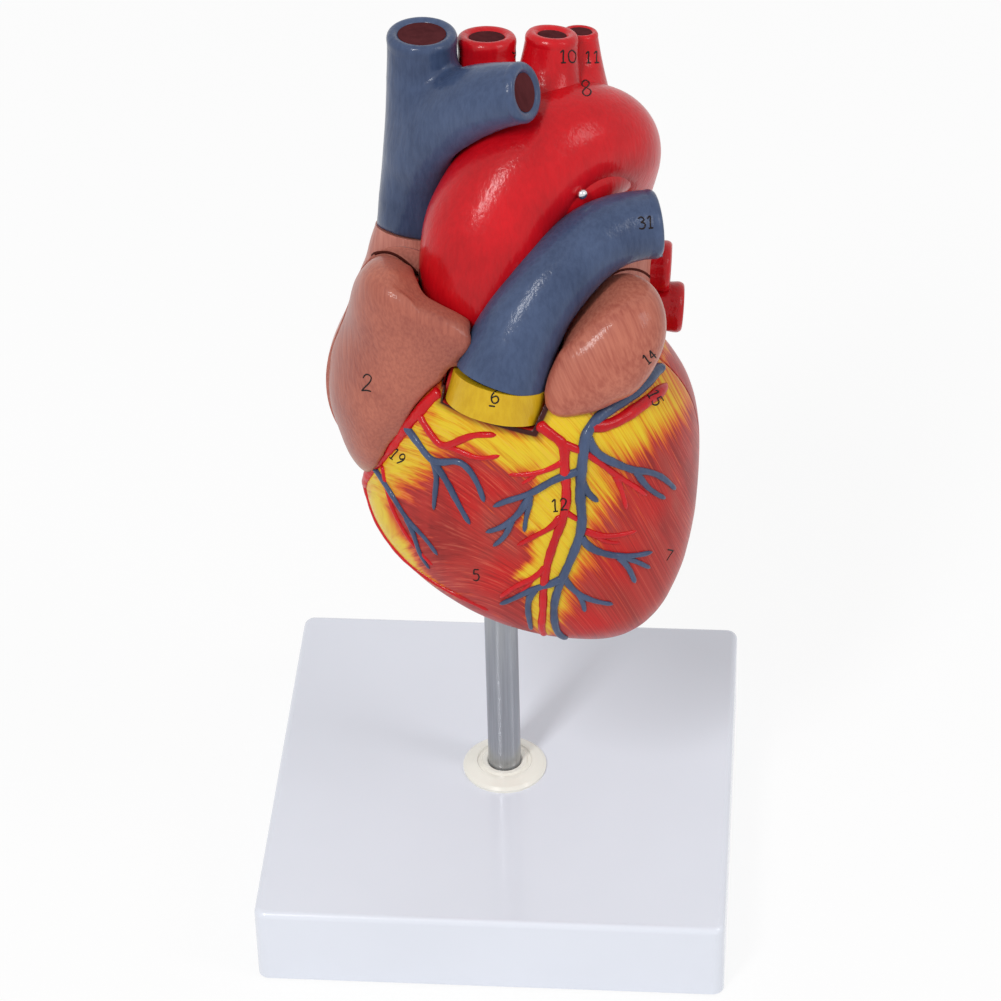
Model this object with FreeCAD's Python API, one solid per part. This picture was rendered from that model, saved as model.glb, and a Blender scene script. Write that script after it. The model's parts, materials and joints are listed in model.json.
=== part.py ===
import FreeCAD, Part
import math
import os

# Two-part anatomical heart on a square stand.
# Frame: origin at the bottom centre of the feet, +Z up, -Y is the front.
# All lengths are in millimetres.

os.makedirs("parts", exist_ok=True)
V = FreeCAD.Vector

# ---- stand ----------------------------------------------------------------
BASE_W = 120.0
BASE_TOP = 22.9
FOOT_PROUD = 0.5
BASE_CORNER_R = 3.0
BASE_EDGE_R = 1.6
BASE_WALL = 2.8
RIB_T = 2.0
BOSS_R = 9.0
ROD_R = 4.3
ROD_BOTTOM = 6.0
ROD_TOP = 128.0
RUN_GAP = 0.06
COLLAR_R = 11.0
COLLAR_BORE_R = ROD_R + RUN_GAP
FOOT_R = 6.0
FOOT_AT = 49.0

# ---- heart ----------------------------------------------------------------
PART_Y = -8.0
SEAM = 0.15
SOCKET_R = ROD_R + RUN_GAP
BUSH_R = 6.4
BOSS_HEART_R = 9.2
SOCKET_TOP = ROD_TOP + 0.3
VESSEL_WALL = 2.1
MAGNET_R = 3.0
MAGNET_T = 2.5
MAGNETS = [(24.0, 97.5), (-26.3, 128.0), (45.4, 140.0), (11.0, 112.0)]

# Outer form of the ventricles: z, centre x, centre y, half width, half depth.
VENTRICLES = [
    (88.0, 27.5, -18.0, 0.0, 0.0),
    (88.8, 27.0, -18.0, 6.0, 5.5),
    (92.0, 24.0, -17.0, 14.5, 12.0),
    (98.0, 18.4, -15.5, 24.8, 19.5),
    (108.0, 13.0, -12.5, 34.5, 26.0),
    (122.0, 9.7, -9.5, 40.3, 30.5),
    (137.0, 9.6, -7.5, 40.9, 32.5),
    (150.0, 10.3, -7.0, 38.5, 32.8),
    (161.0, 9.5, -8.0, 33.0, 31.5),
    (170.0, 7.5, -9.5, 24.0, 24.5),
    (177.0, 5.0, -11.5, 14.0, 15.5),
    (180.5, 4.0, -12.5, 7.0, 8.0),
    (181.5, 4.0, -12.5, 0.0, 0.0),
]
VENTRICLE_POWER = 2.1


# ---- curve helpers --------------------------------------------------------
def natural_spline(knots, values):
    """Second derivatives of the natural cubic through (knots, values)."""
    n = len(knots)
    second = [0.0] * n
    work = [0.0] * n
    for i in range(1, n - 1):
        left = knots[i] - knots[i - 1]
        right = knots[i + 1] - knots[i]
        sig = left / (left + right)
        p = sig * second[i - 1] + 2.0
        second[i] = (sig - 1.0) / p
        slope = (values[i + 1] - values[i]) / right
        slope -= (values[i] - values[i - 1]) / left
        work[i] = (6.0 * slope / (left + right) - sig * work[i - 1]) / p
    for i in range(n - 2, -1, -1):
        second[i] = second[i] * second[i + 1] + work[i]
    second[-1] = 0.0
    return second


class Spline:
    """Natural cubic through rows of numbers, run by chord length."""

    def __init__(self, rows, measure):
        self.t = [0.0]
        for a, b in zip(rows, rows[1:]):
            d = math.sqrt(sum((a[k] - b[k]) ** 2 for k in measure))
            self.t.append(self.t[-1] + d)
        self.cols = [list(c) for c in zip(*rows)]
        self.second = [natural_spline(self.t, c) for c in self.cols]

    def at(self, s):
        t = self.t
        i = 0
        while i < len(t) - 2 and s > t[i + 1]:
            i += 1
        h = t[i + 1] - t[i]
        a = (t[i + 1] - s) / h
        b = 1.0 - a
        out = []
        for c, m in zip(self.cols, self.second):
            v = a * c[i] + b * c[i + 1]
            v += ((a ** 3 - a) * m[i] + (b ** 3 - b) * m[i + 1]) * h * h / 6.0
            out.append(v)
        return out

    def even(self, count):
        return [self.at(self.t[-1] * k / (count - 1.0)) for k in range(count)]


def unit(v):
    w = V(v)
    w.normalize()
    return w


def closed_section(centre, e1, e2, a, b, power=2.0, n=14, lobe=0.0):
    """Closed smooth curve: an ellipse, a slightly squared one, or one with a soft lobe."""
    pts = []
    for k in range(n):
        w = 2.0 * math.pi * k / n
        c = math.cos(w)
        s = math.sin(w)
        c = math.copysign(abs(c) ** (2.0 / power), c)
        s = math.copysign(abs(s) ** (2.0 / power), s)
        p = centre + e1 * (a * c) + e2 * (b * s)
        if lobe:
            apart = math.remainder(w - LOBE_TURN, 2.0 * math.pi)
            swell = lobe * math.exp(-(apart / LOBE_WIDTH) ** 2)
            p = p + e1 * (swell * math.cos(LOBE_TURN)) + e2 * (swell * math.sin(LOBE_TURN))
        pts.append(p)
    curve = Part.BSplineCurve()
    params = [float(k) for k in range(n + 1)]
    curve.interpolate(Points=pts, PeriodicFlag=True, Parameters=params)
    return Part.Wire([curve.toShape()])


LOBE_TURN = -0.75
LOBE_WIDTH = 0.55


def body_loft(rows, origin, e1, e2, e3, power=2.0, count=15, n=14):
    """Rounded closed body through stations (s, c1, c2, a, b)."""
    e1 = unit(e1)
    e2 = unit(e2)
    e3 = unit(e3)
    origin = V(*origin)
    run = Spline(rows, (0, 1, 3)).even(count)
    sections = []
    for i, row in enumerate(run):
        s, c1, c2, a, b = row[:5]
        lobe = row[5] if len(row) > 5 else 0.0
        centre = origin + e3 * s + e1 * c1 + e2 * c2
        if i in (0, count - 1):
            sections.append(Part.Vertex(centre))
        else:
            sections.append(closed_section(centre, e1, e2, max(a, 0.4), max(b, 0.4), power, n, lobe))
    return Part.makeLoft(sections, True, False)


def tube_frames(points, count):
    """Points, directions and side vectors along a smooth path."""
    rows = [tuple(p) for p in points]
    run = Spline(rows, (0, 1, 2)) if len(rows) > 2 else None
    pos = []
    for k in range(count):
        if run:
            pos.append(V(*run.at(run.t[-1] * k / (count - 1.0))))
        else:
            f = k / (count - 1.0)
            pos.append(V(*rows[0]) * (1.0 - f) + V(*rows[1]) * f)
    ways = []
    for k in range(count):
        ways.append(unit(pos[min(k + 1, count - 1)] - pos[max(k - 1, 0)]))
    side = V(0, -1, 0)
    if abs(side.dot(ways[0])) > 0.9:
        side = V(1, 0, 0)
    sides = []
    for w in ways:
        side = unit(side - w * side.dot(w))
        sides.append(side)
    return pos, ways, sides


def radius_at(radii, f):
    """Radius at fraction f of the run, straight between the given radii."""
    if not isinstance(radii, (list, tuple)):
        return float(radii)
    g = f * (len(radii) - 1)
    i = min(int(g), len(radii) - 2)
    return radii[i] + (radii[i + 1] - radii[i]) * (g - i)


def tube(points, radii, count=None, grow=0.0, n=12, dome=False):
    """Solid round tube along a smooth path; radii are given evenly along it."""
    if count is None:
        count = 2 if len(points) == 2 else 3 * len(points) - 2
        if len(points) == 2 and isinstance(radii, (list, tuple)) and len(radii) > 2:
            count = 5
    pos, ways, sides = tube_frames(points, count)
    wires = []
    for k in range(count):
        r = radius_at(radii, k / (count - 1.0)) + grow
        other = ways[k].cross(sides[k])
        wires.append(closed_section(pos[k], sides[k], other, r, r, 2.0, n))
    if dome:
        r = radius_at(radii, 1.0) + grow
        other = ways[-1].cross(sides[-1])
        wires.append(closed_section(pos[-1] + ways[-1] * (0.7 * r), sides[-1], other, 0.7 * r, 0.7 * r, 2.0, n))
        wires.append(Part.Vertex(pos[-1] + ways[-1] * r))
    return Part.makeLoft(wires, True, False)


def ellipsoid(centre, semi):
    ball = Part.makeSphere(1.0)
    m = FreeCAD.Matrix()
    m.scale(V(*semi))
    m.move(V(*centre))
    return ball.transformGeometry(m)


def fuse_all(shapes):
    return shapes[0].multiFuse(shapes[1:]) if len(shapes) > 1 else shapes[0]


def biggest(shape):
    """The main solid of a cut, without its shavings."""
    return sorted(shape.Solids, key=lambda s: s.Volume)[-1]


def over(shape, least):
    """Every solid of a cut that is larger than a shaving."""
    return Part.makeCompound([s for s in shape.Solids if s.Volume > least])


def save(node, shape):
    shape.exportStep("parts/" + node + ".step")
    print(node, len(shape.Solids), shape.isValid(), round(shape.Volume, 1))


class HeartFace:
    """Where the outer face of the ventricles lies at a given x and z."""

    def __init__(self):
        spline = Spline(VENTRICLES, (0, 1, 3))
        self.rows = spline.even(400)

    def section(self, z):
        lo = 0
        hi = len(self.rows) - 1
        while hi - lo > 1:
            mid = (lo + hi) // 2
            if self.rows[mid][0] < z:
                lo = mid
            else:
                hi = mid
        a = self.rows[lo]
        b = self.rows[hi]
        f = (z - a[0]) / max(b[0] - a[0], 1e-9)
        return [a[k] + (b[k] - a[k]) * f for k in range(1, 5)]

    def at(self, x, z, side=-1.0, out=0.0):
        cx, cy, ax, ay = self.section(z)
        u = min(abs((x - cx) / max(ax, 0.1)), 0.999)
        depth = (1.0 - u ** VENTRICLE_POWER) ** (1.0 / VENTRICLE_POWER)
        y = cy + side * ay * depth
        if not out:
            return V(x, y, z)
        return V(x, y, z) + self.normal(x, z, side) * out

    def normal(self, x, z, side):
        """Outward direction of the face, from four points close by."""
        level = self.at(x + 0.2, z, side) - self.at(x - 0.2, z, side)
        steep = self.at(x, z + 0.2, side) - self.at(x, z - 0.2, side)
        return unit(level.cross(steep)) * -side


FACE = HeartFace()

# ---- outer forms ----------------------------------------------------------
X = V(1, 0, 0)
Y = V(0, 1, 0)
Z = V(0, 0, 1)

ventricles = body_loft(VENTRICLES, (0, 0, 0), X, Y, Z, VENTRICLE_POWER, 26, 16)

RA_UP = unit(V(0.25, -0.05, 0.96))
RA_SIDE = unit(Y.cross(RA_UP))
RA_DEEP = RA_UP.cross(RA_SIDE)
RA_ORIGIN = (-20.5, -7.0, 161.0)
RIGHT_ATRIUM = [
    (-33.0, 3.0, 0.0, 0.0, 0.0, 0.0),
    (-31.5, 3.0, 0.0, 6.0, 7.0, 0.0),
    (-27.0, 2.0, 0.0, 12.0, 14.0, 0.0),
    (-16.0, 0.4, 0.0, 17.0, 20.5, 0.0),
    (-2.0, -0.3, 0.0, 18.2, 22.5, 0.4),
    (12.0, 0.0, -2.0, 17.2, 20.0, 3.2),
    (20.0, -1.8, -4.4, 15.6, 17.0, 6.4),
    (26.0, -4.0, -6.6, 12.8, 14.0, 7.4),
    (31.0, -6.2, -8.4, 9.0, 10.4, 3.0),
    (35.6, -8.4, -10.0, 0.0, 0.0, 0.0),
]
right_atrium_form = body_loft(RIGHT_ATRIUM, RA_ORIGIN, RA_SIDE, RA_DEEP, RA_UP, 2.0, 20, 20)

LAA_UP = unit(V(22.5, 20.0, 22.0))
LAA_SIDE = unit(LAA_UP.cross(V(-0.1, -0.8, 0.6)))
LAA_OUT = LAA_UP.cross(LAA_SIDE)
LEFT_AURICLE = [
    (-4.5, 1.0, 0.0, 0.0, 0.0),
    (-3.5, 1.0, 0.0, 4.0, 2.6),
    (2.0, 1.0, 0.0, 9.6, 6.0),
    (10.0, 0.6, 0.0, 12.8, 8.5),
    (19.0, 0.0, 0.0, 13.6, 9.6),
    (27.0, -0.6, 0.0, 12.0, 9.0),
    (32.5, -1.0, 0.0, 7.4, 6.0),
    (35.0, -1.0, 0.0, 0.0, 0.0),
]
left_auricle_form = body_loft(LEFT_AURICLE, (17.5, -31.5, 167.8), LAA_SIDE, LAA_OUT, LAA_UP, 2.2, 16)

LEFT_ATRIUM = [
    (-30.0, 0.0, 0.0, 0.0, 0.0),
    (-28.0, 0.0, 0.0, 6.0, 8.0),
    (-20.0, 0.0, 0.0, 13.0, 14.0),
    (0.0, 0.0, 0.0, 17.0, 17.0),
    (20.0, 0.0, 0.0, 14.0, 15.0),
    (28.0, 0.0, 0.0, 7.0, 8.0),
    (29.5, 0.0, 0.0, 0.0, 0.0),
]
left_atrium_form = body_loft(LEFT_ATRIUM, (10.0, 16.0, 174.0), Y, Z, X, 2.0, 14)

AORTA = [(-1.4, -8, 170), (-1.6, -8, 185), (0.8, -4, 198), (9.0, 3.5, 209.0), (19, 11, 213.0), (27, 18, 208.0), (28.6, 24.5, 197), (27, 29.5, 185)]
AORTA_R = [13.0, 15.0, 15.8, 15.0, 13.8, 12.4, 10.6, 9.2]
ARCH_WEB = [(3.0, -3.0, 196.0), (13.0, 1.0, 202.5), (22.0, 7.0, 204.5), (27.5, 15.0, 203.0)]
ARCH_WEB_R = [11.0, 9.5, 8.6, 7.6]
TRUNK = [(4.3, -28.2, 171.1), (6.9, -25.6, 178.2), (11.6, -21.5, 186.6), (18.6, -15.0, 193.6), (27.3, -8.0, 198.2), (36.5, -3.4, 198.6), (45.0, -0.6, 197.6)]
TRUNK_R = [11.3, 10.3, 9.3, 9.0, 8.8, 8.3, 7.8]
TRUNK_END = (39.4, -3.0, 198.6)
TRUNK_END_WAY = (0.96, 0.22, 0.17)
RING = [(2.8, -30.3, 163.9), (4.3, -28.2, 171.1)]
RING_AXIS = unit(V(*RING[1]) - V(*RING[0]))
RING_R = 12.0
CAVA = [(-16.3, 15.0, 238.5), (-17.0, 13.6, 215), (-19.4, 11.0, 186.6)]
CAVA_R = [8.2, 8.8, 9.4]
CAVA_ROOT = [(-19.4, 11.0, 186.3), (-20.2, 9.0, 180), (-20.4, 6.0, 172)]
CAVA_ROOT_R = [9.6, 11.0, 14.0]
STUB = [(-17.0, 12.5, 205.0), (-10.0, 9.0, 218.0), (-2.0, 3.0, 228.4), (8.8, -1.6, 233.6)]
STUB_R = [10.5, 11.0, 8.6, 7.1]
ARCH_BRANCHES = {
    "brachiocephalic_artery": ([(-1.4, 14.0, 217.0), (-1.4, 22.0, 234.0)], [8.0, 7.0, 6.9]),
    "left_common_carotid_artery": ([(12.4, 15.0, 215.0), (13.8, 23.0, 235.0)], [10.0, 7.0, 6.2]),
    "left_subclavian_artery": ([(19.6, 22.0, 213.0), (20.2, 30.0, 232.6)], [9.0, 5.2, 4.1]),
}

aorta_form = tube(AORTA, AORTA_R, 22, 0.0, 14).fuse(tube(ARCH_WEB, ARCH_WEB_R, 9))
trunk_end = Part.makeBox(60.0, 60.0, 60.0, V(-30.0, -30.0, 0.0))
trunk_end.Placement = FreeCAD.Placement(V(*TRUNK_END), FreeCAD.Rotation(V(0, 0, 1), V(*TRUNK_END_WAY)))
trunk_long = tube(TRUNK, TRUNK_R, 19)
trunk_form = trunk_long.cut(trunk_end)
ring_form = tube(RING, [RING_R, 11.5], 2)

# ---- chambers and passages, taken out of the walls ------------------------
left_room = ellipsoid((27.0, PART_Y, 136.0), (13.0, 15.0, 30.0))
right_room = ellipsoid((-7.0, PART_Y, 138.0), (15.0, 19.5, 30.0))
right_outflow = tube([(-6.0, -15.0, 140.0), (-2.0, -24.0, 154.0), (3.4, -29.5, 167.0)], [10.0, 8.6, 8.4])
left_outflow = tube([(22.0, -8.0, 150.0), (10.0, -8.0, 161.0), (-2.5, -8.0, 171.0)], [8.0, 8.0, 9.0])
tricuspid_way = tube([(-21.0, -6.0, 166.0), (-13.0, -8.0, 146.0)], 9.0)
mitral_way = tube([(14.0, 12.0, 176.0), (24.0, -2.0, 148.0)], 8.2)
socket_boss = Part.makeCylinder(BOSS_HEART_R, 60.0, V(0, 0, 75.0))
boss_dome = ellipsoid((0, 0, SOCKET_TOP + 1.0), (BOSS_HEART_R, BOSS_HEART_R, 5.0))
socket_solid = socket_boss.common(Part.makeBox(40, 40, 60, V(-20, -20, SOCKET_TOP + 1.0 - 60))).fuse(boss_dome)
chambers = fuse_all([left_room, right_room, right_outflow, left_outflow, tricuspid_way, mitral_way])
chambers = chambers.cut(socket_solid)
right_atrium_room = body_loft(
    [(s * 0.86, c1, c2, max(a - 3.2, 0.0), max(b - 3.2, 0.0)) for s, c1, c2, a, b, _ in RIGHT_ATRIUM],
    RA_ORIGIN, RA_SIDE, RA_DEEP, RA_UP, 2.0, 14)
left_atrium_room = ellipsoid((10.0, 16.0, 174.0), (24.0, 13.5, 13.5))

# ---- where the front wall ends --------------------------------------------
BIG = 200.0


def front_space(gap):
    return Part.makeBox(2 * BIG, BIG, BIG, V(-BIG, PART_Y - gap - BIG, 60.0))


def rear_space(gap):
    return Part.makeBox(2 * BIG, BIG, BIG, V(-BIG, PART_Y + gap, 60.0))


# Band in front view that the trunk and its ring fill, open upwards.
BAND_LEFT = [(-9.3, 167.2), (-8.4, 170.5), (-6.4, 176.0), (-3.2, 182.6), (1.6, 190.2), (6.6, 196.2), (10.6, 200.2), (10.6, 262.0)]
BAND_RIGHT = [
    (62.0, 262.0), (62.0, 189.2), (44.0, 189.4), (32.0, 189.8), (28.0, 188.6),
    (24.2, 185.6), (20.2, 181.2), (17.4, 175.2), (16.2, 171.0), (15.2, 161.8)]


def trunk_band(gap, back=PART_Y, front=-70.0):
    pts = [(x - gap, z) for x, z in BAND_LEFT] + [(x + gap, z - gap) for x, z in BAND_RIGHT]
    pts = [(BAND_LEFT[0][0] - gap, 150.0)] + pts + [(BAND_RIGHT[-1][0] + gap, 150.0)]
    wire = Part.makePolygon([V(x, front, z) for x, z in pts] + [V(pts[0][0], front, pts[0][1])])
    return Part.Face(wire).extrude(V(0, back - front, 0))


def above_ring_foot(drop):
    """Half space on the upper side of the ring's lower rim."""
    block = Part.makeBox(160.0, 160.0, 120.0, V(-80.0, -80.0, 0.0))
    block.Placement = FreeCAD.Placement(V(*RING[0]) - RING_AXIS * drop, FreeCAD.Rotation(V(0, 0, 1), RING_AXIS))
    return block


RING_GAP = 1.0
RING_LOW = tuple(V(*RING[0]) - RING_AXIS * RING_GAP)
notch = fuse_all([
    trunk_band(0.5, PART_Y + 0.1, -29.0).common(above_ring_foot(RING_GAP)),
    tube([RING_LOW, RING[1]], RING_R + 0.6, 2),
    tube(TRUNK, [r + 0.6 for r in TRUNK_R], 19),
])
aorta_room = tube(AORTA, [r + 0.35 for r in AORTA_R], 22, 0.0, 14)

# ---- front wall of the ventricles -----------------------------------------
front_wall = ventricles.common(front_space(SEAM))
front_wall = front_wall.cut(chambers)
front_wall = front_wall.cut(notch)
front_wall = front_wall.cut(aorta_room)
for x, z in MAGNETS:
    front_wall = front_wall.cut(Part.makeCylinder(MAGNET_R, MAGNET_T, V(x, PART_Y - SEAM - MAGNET_T, z), Y))
front_wall = biggest(front_wall)
save("front_ventricle_wall", front_wall)

right_auricle = right_atrium_form.common(front_space(SEAM)).cut(ventricles)
right_auricle = right_auricle.cut(notch).cut(aorta_room).cut(right_atrium_room)
right_auricle = biggest(right_auricle)
save("right_auricle", right_auricle)

left_auricle = left_auricle_form.common(front_space(SEAM)).cut(ventricles).cut(notch)
left_auricle = biggest(left_auricle)
save("left_auricle", left_auricle)

# ---- rear piece -----------------------------------------------------------
aorta_lumen = tube(AORTA, [r - 2.6 for r in AORTA_R], 22)
aorta = aorta_form.cut(aorta_lumen)
save("aorta", aorta)

ring = ring_form.cut(tube(RING, RING_R - 3.0, 2)).cut(aorta_form)
save("pulmonary_ring", over(ring, 20.0))
trunk = trunk_long.cut(aorta_form).cut(ring_form)
trunk = trunk.cut(tube(TRUNK, [r - VESSEL_WALL for r in TRUNK_R], 19)).cut(trunk_end)
trunk = biggest(trunk)
save("pulmonary_trunk", trunk)

rear_wall = ventricles.common(rear_space(SEAM))
seat = ventricles.common(trunk_band(0.0, PART_Y + 2.0, -29.0).common(above_ring_foot(0.0)))
rear_wall = rear_wall.fuse(seat.cut(ring_form).cut(trunk_form))
rear_wall = rear_wall.cut(chambers).cut(aorta_form).cut(trunk_form)
rear_wall = rear_wall.cut(Part.makeCylinder(BUSH_R, SOCKET_TOP - 60.0, V(0, 0, 60.0)))
for x, z in MAGNETS:
    rear_wall = rear_wall.cut(Part.makeCylinder(MAGNET_R, MAGNET_T, V(x, PART_Y + SEAM, z), Y))
rear_wall = biggest(rear_wall)
save("rear_ventricle_wall", rear_wall)
cava_root = tube(CAVA_ROOT, CAVA_ROOT_R, 7)
rear_atrium = right_atrium_form.common(rear_space(SEAM)).fuse(cava_root.common(rear_space(SEAM)))
rear_atrium = rear_atrium.cut(ventricles).cut(aorta_form)
rear_atrium = rear_atrium.cut(right_atrium_room)
rear_atrium = rear_atrium.cut(tube(CAVA_ROOT, [r - 3.0 for r in CAVA_ROOT_R], 7))
rear_atrium = biggest(rear_atrium)
save("right_atrium", rear_atrium)

VENA_INFERIOR = [(-20.0, 8.0, 150.0), (-19.5, 13.5, 138.0), (-18.5, 18.0, 121.0)]
vena_inferior_form = tube(VENA_INFERIOR, [10.5, 9.6, 9.0], 7)
inferior = vena_inferior_form.cut(right_atrium_form).cut(ventricles)
inferior = inferior.cut(tube([VENA_INFERIOR[1], (-18.2, 18.8, 118.0)], 9.0 - VESSEL_WALL))
inferior = biggest(inferior)
save("inferior_vena_cava", inferior)

left_atrium = left_atrium_form.cut(ventricles).cut(aorta_form).cut(trunk_form)
left_atrium = left_atrium.cut(right_atrium_form).cut(cava_root).cut(front_space(-SEAM))
left_atrium = left_atrium.cut(left_atrium_room).cut(mitral_way)
left_atrium = biggest(left_atrium)
save("left_atrium", left_atrium)

# Great vein from above, with its side branch, bored from its open ends.
cava = tube(CAVA, CAVA_R, 9).fuse(tube(STUB, STUB_R, 12))
cava = cava.cut(aorta_form).cut(cava_root).cut(left_atrium_form)
cava = cava.cut(tube(CAVA, [r - VESSEL_WALL for r in CAVA_R], 9))
cava = cava.cut(tube(STUB[1:], [r - VESSEL_WALL for r in STUB_R[1:]], 10))
cava = biggest(cava)
save("superior_vena_cava", cava)

for name, (path, radii) in ARCH_BRANCHES.items():
    outer = tube(path, radii)
    lumen = tube(path, [r - 1.9 for r in radii])
    branch = outer.cut(lumen).cut(aorta_form).cut(cava)
    if name != "brachiocephalic_artery":
        branch = branch.cut(tube(*ARCH_BRANCHES["brachiocephalic_artery"]))
    if name == "left_subclavian_artery":
        branch = branch.cut(tube(*ARCH_BRANCHES["left_common_carotid_artery"]))
    save(name, biggest(branch))

LEFT_VEINS = [[(26.0, 15.0, 175.0), (42.0, 14.8, 174.4)], [(26.0, 13.0, 164.5), (45.0, 13.8, 163.0)]]
RIGHT_VEINS = [[(-8.0, 24.0, 177.5), (-18.0, 27.0, 178.0), (-27.0, 28.5, 178.5)], [(-6.0, 24.0, 166.0), (-18.0, 26.5, 164.5), (-29.0, 27.5, 163.0)]]


def vein_pair(paths, r):
    outer = []
    inner = []
    for path in paths:
        outer.append(tube(path, [r + 0.3, r], 7))
        inner.append(tube(path, [r - 1.6, r - 1.6], 7))
    shape = fuse_all(outer)
    for lumen in inner:
        shape = shape.cut(lumen)
    return shape


left_veins = vein_pair(LEFT_VEINS, 6.1).cut(left_atrium_form).cut(ventricles).cut(left_auricle_form)
left_veins = left_veins.cut(front_space(-SEAM))
save("left_pulmonary_veins", over(left_veins, 20.0))
right_veins = vein_pair(RIGHT_VEINS, 5.4).cut(left_atrium_form).cut(rear_atrium).cut(right_atrium_form).cut(cava_root)
save("right_pulmonary_veins", over(right_veins, 20.0))

RIGHT_BRANCH = [(21.0, -3.0, 195.0), (15.0, 10.0, 195.0), (5.0, 20.0, 194.5), (-10.0, 27.0, 194.0), (-23.0, 29.0, 193.0)]
right_branch = tube(RIGHT_BRANCH, [7.6, 6.8, 6.6], 13).cut(tube(RIGHT_BRANCH, [5.6, 4.9, 4.7], 13))
right_branch = right_branch.cut(aorta_form).cut(trunk_form).cut(left_atrium_form).cut(cava).cut(cava_root)
right_branch = right_branch.cut(rear_atrium)
save("right_pulmonary_artery", over(right_branch, 20.0))

# ---- valves, muscles and cords inside ------------------------------------
def along(path, f):
    a = V(*path[0])
    b = V(*path[1])
    return a + (b - a) * f, unit(b - a)


def flap_valve(centre, axis, r, count, turn=0.0):
    """Ring with thin flaps that hang into the chamber."""
    spin = FreeCAD.Rotation(V(0, 0, 1), axis)
    depth = 0.85 * r
    skirt = Part.makeCone(r - 0.5, 0.45 * r, depth).cut(Part.makeCone(r - 1.3, 0.45 * r - 0.8, depth))
    for k in range(count):
        slot = Part.makeBox(0.9, r + 2.0, depth, V(-0.45, 0.0, 1.6))
        slot.rotate(V(0, 0, 0), V(0, 0, 1), turn + 360.0 * k / count)
        skirt = skirt.cut(slot)
    rim = Part.makeTorus(r - 0.9, 0.9)
    shape = rim.fuse(skirt)
    shape.Placement = FreeCAD.Placement(centre, spin)
    return shape


def cup_valve(centre, axis, r, turn=0.0):
    """Three thin cups in a ring, open along the flow."""
    spin = FreeCAD.Rotation(V(0, 0, 1), axis)
    inside = Part.makeCylinder(r, 2.0 * r, V(0, 0, -r))
    cups = []
    for k in range(3):
        w = math.radians(turn + 120.0 * k)
        at = V(0.5 * r * math.cos(w), 0.5 * r * math.sin(w), 0.0)
        cup = Part.makeSphere(0.50 * r, at).cut(Part.makeSphere(0.50 * r - 0.8, at))
        cup = cup.common(Part.makeBox(4 * r, 4 * r, 0.6 * r, V(-2 * r, -2 * r, -0.6 * r)))
        cups.append(cup.common(inside))
    rim = Part.makeCylinder(r, 1.6, V(0, 0, -1.2)).cut(Part.makeCylinder(r - 0.9, 1.6, V(0, 0, -1.2)))
    shape = fuse_all([rim] + cups)
    shape.Placement = FreeCAD.Placement(centre, spin)
    return shape


TRICUSPID = [(-21.0, -6.0, 166.0), (-13.0, -8.0, 146.0)]
MITRAL = [(14.0, 12.0, 176.0), (24.0, -2.0, 148.0)]
at, way = along(TRICUSPID, 0.45)
tricuspid = flap_valve(at, way, 8.95, 3, 20.0).cut(rear_wall)
save("tricuspid_valve", biggest(tricuspid))
tricuspid_low = at + way * 7.0
at, way = along(MITRAL, 0.55)
mitral = flap_valve(at, way, 8.15, 2, 60.0).cut(rear_wall).cut(left_atrium)
save("mitral_valve", biggest(mitral))
mitral_low = at + way * 6.4
root_way = unit(V(*AORTA[1]) - V(*AORTA[0]))
aortic = cup_valve(V(*AORTA[0]) + root_way * 7.0, root_way, 11.2, 30.0).cut(aorta).cut(rear_wall)
save("aortic_valve", biggest(aortic))
pulmonary = cup_valve(V(*RING[0]) + RING_AXIS * 4.6, RING_AXIS, RING_R - 3.05, 90.0).cut(ring)
save("pulmonary_valve", biggest(pulmonary))

PAPILLARY = {
    "left_papillary_muscles": ([(20.0, 8.0, 117.0), (21.0, 1.0, 128.0), (21.5, -3.0, 138.0)], [(35.5, 7.0, 119.0), (34.0, 0.0, 130.0), (31.0, -4.0, 140.0)]),
    "right_papillary_muscles": ([(-7.0, 10.0, 140.0), (-7.6, 3.0, 141.0), (-8.6, -1.4, 144.0)], [(-20.5, -1.0, 122.0), (-17.0, -3.4, 131.0), (-14.6, -4.4, 141.0)]),
}
tips = {}
for name, paths in PAPILLARY.items():
    muscle = Part.makeCompound([biggest(tube(p, [4.6, 3.2, 2.0], 7, 0.0, 10, True).cut(rear_wall)) for p in paths])
    save(name, muscle)
    tips[name] = (muscle, [V(*p[-1]) + V(0, 0, 1.2) for p in paths])

CORD_R = 0.45
for name, key, low, valve, r in (
        ("left_chordae", "left_papillary_muscles", mitral_low, mitral, 3.4),
        ("right_chordae", "right_papillary_muscles", tricuspid_low, tricuspid, 3.8)):
    muscle, starts = tips[key]
    cords = []
    for i, start in enumerate(starts):
        for k in range(3):
            w = math.radians(180.0 * i + 60.0 * k + 30.0)
            end = low + V(-r * math.cos(w), r * math.sin(w), 0.0)
            line = end - start
            cords.append(Part.makeCylinder(CORD_R, line.Length, start, line))
    cords = fuse_all(cords).cut(muscle).cut(valve).cut(rear_wall)
    save(name, over(cords, 0.8))

# ---- vessels in relief on the heart's faces -------------------------------
LIFT = 0.10
BURIED = 0.15


def route_points(route, side, r, step=0.5):
    """Close points just off the face along a route of (x, z) points."""
    length = sum(math.hypot(b[0] - a[0], b[1] - a[1]) for a, b in zip(route, route[1:]))
    count = max(8, int(length / step))
    if len(route) > 2:
        flat = Spline(route, (0, 1)).even(count)
    else:
        (x0, z0), (x1, z1) = route
        flat = [(x0 + (x1 - x0) * k / (count - 1.0), z0 + (z1 - z0) * k / (count - 1.0)) for k in range(count)]
    return [(x, z, FACE.at(x, z, side, LIFT + r * r / 45.0)) for x, z in flat]


def clear_of(p, r, lines):
    for points, radii in lines:
        for q, rq in zip(points, radii):
            if (p - q).Length < rq + r:
                return False
    return True


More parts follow.
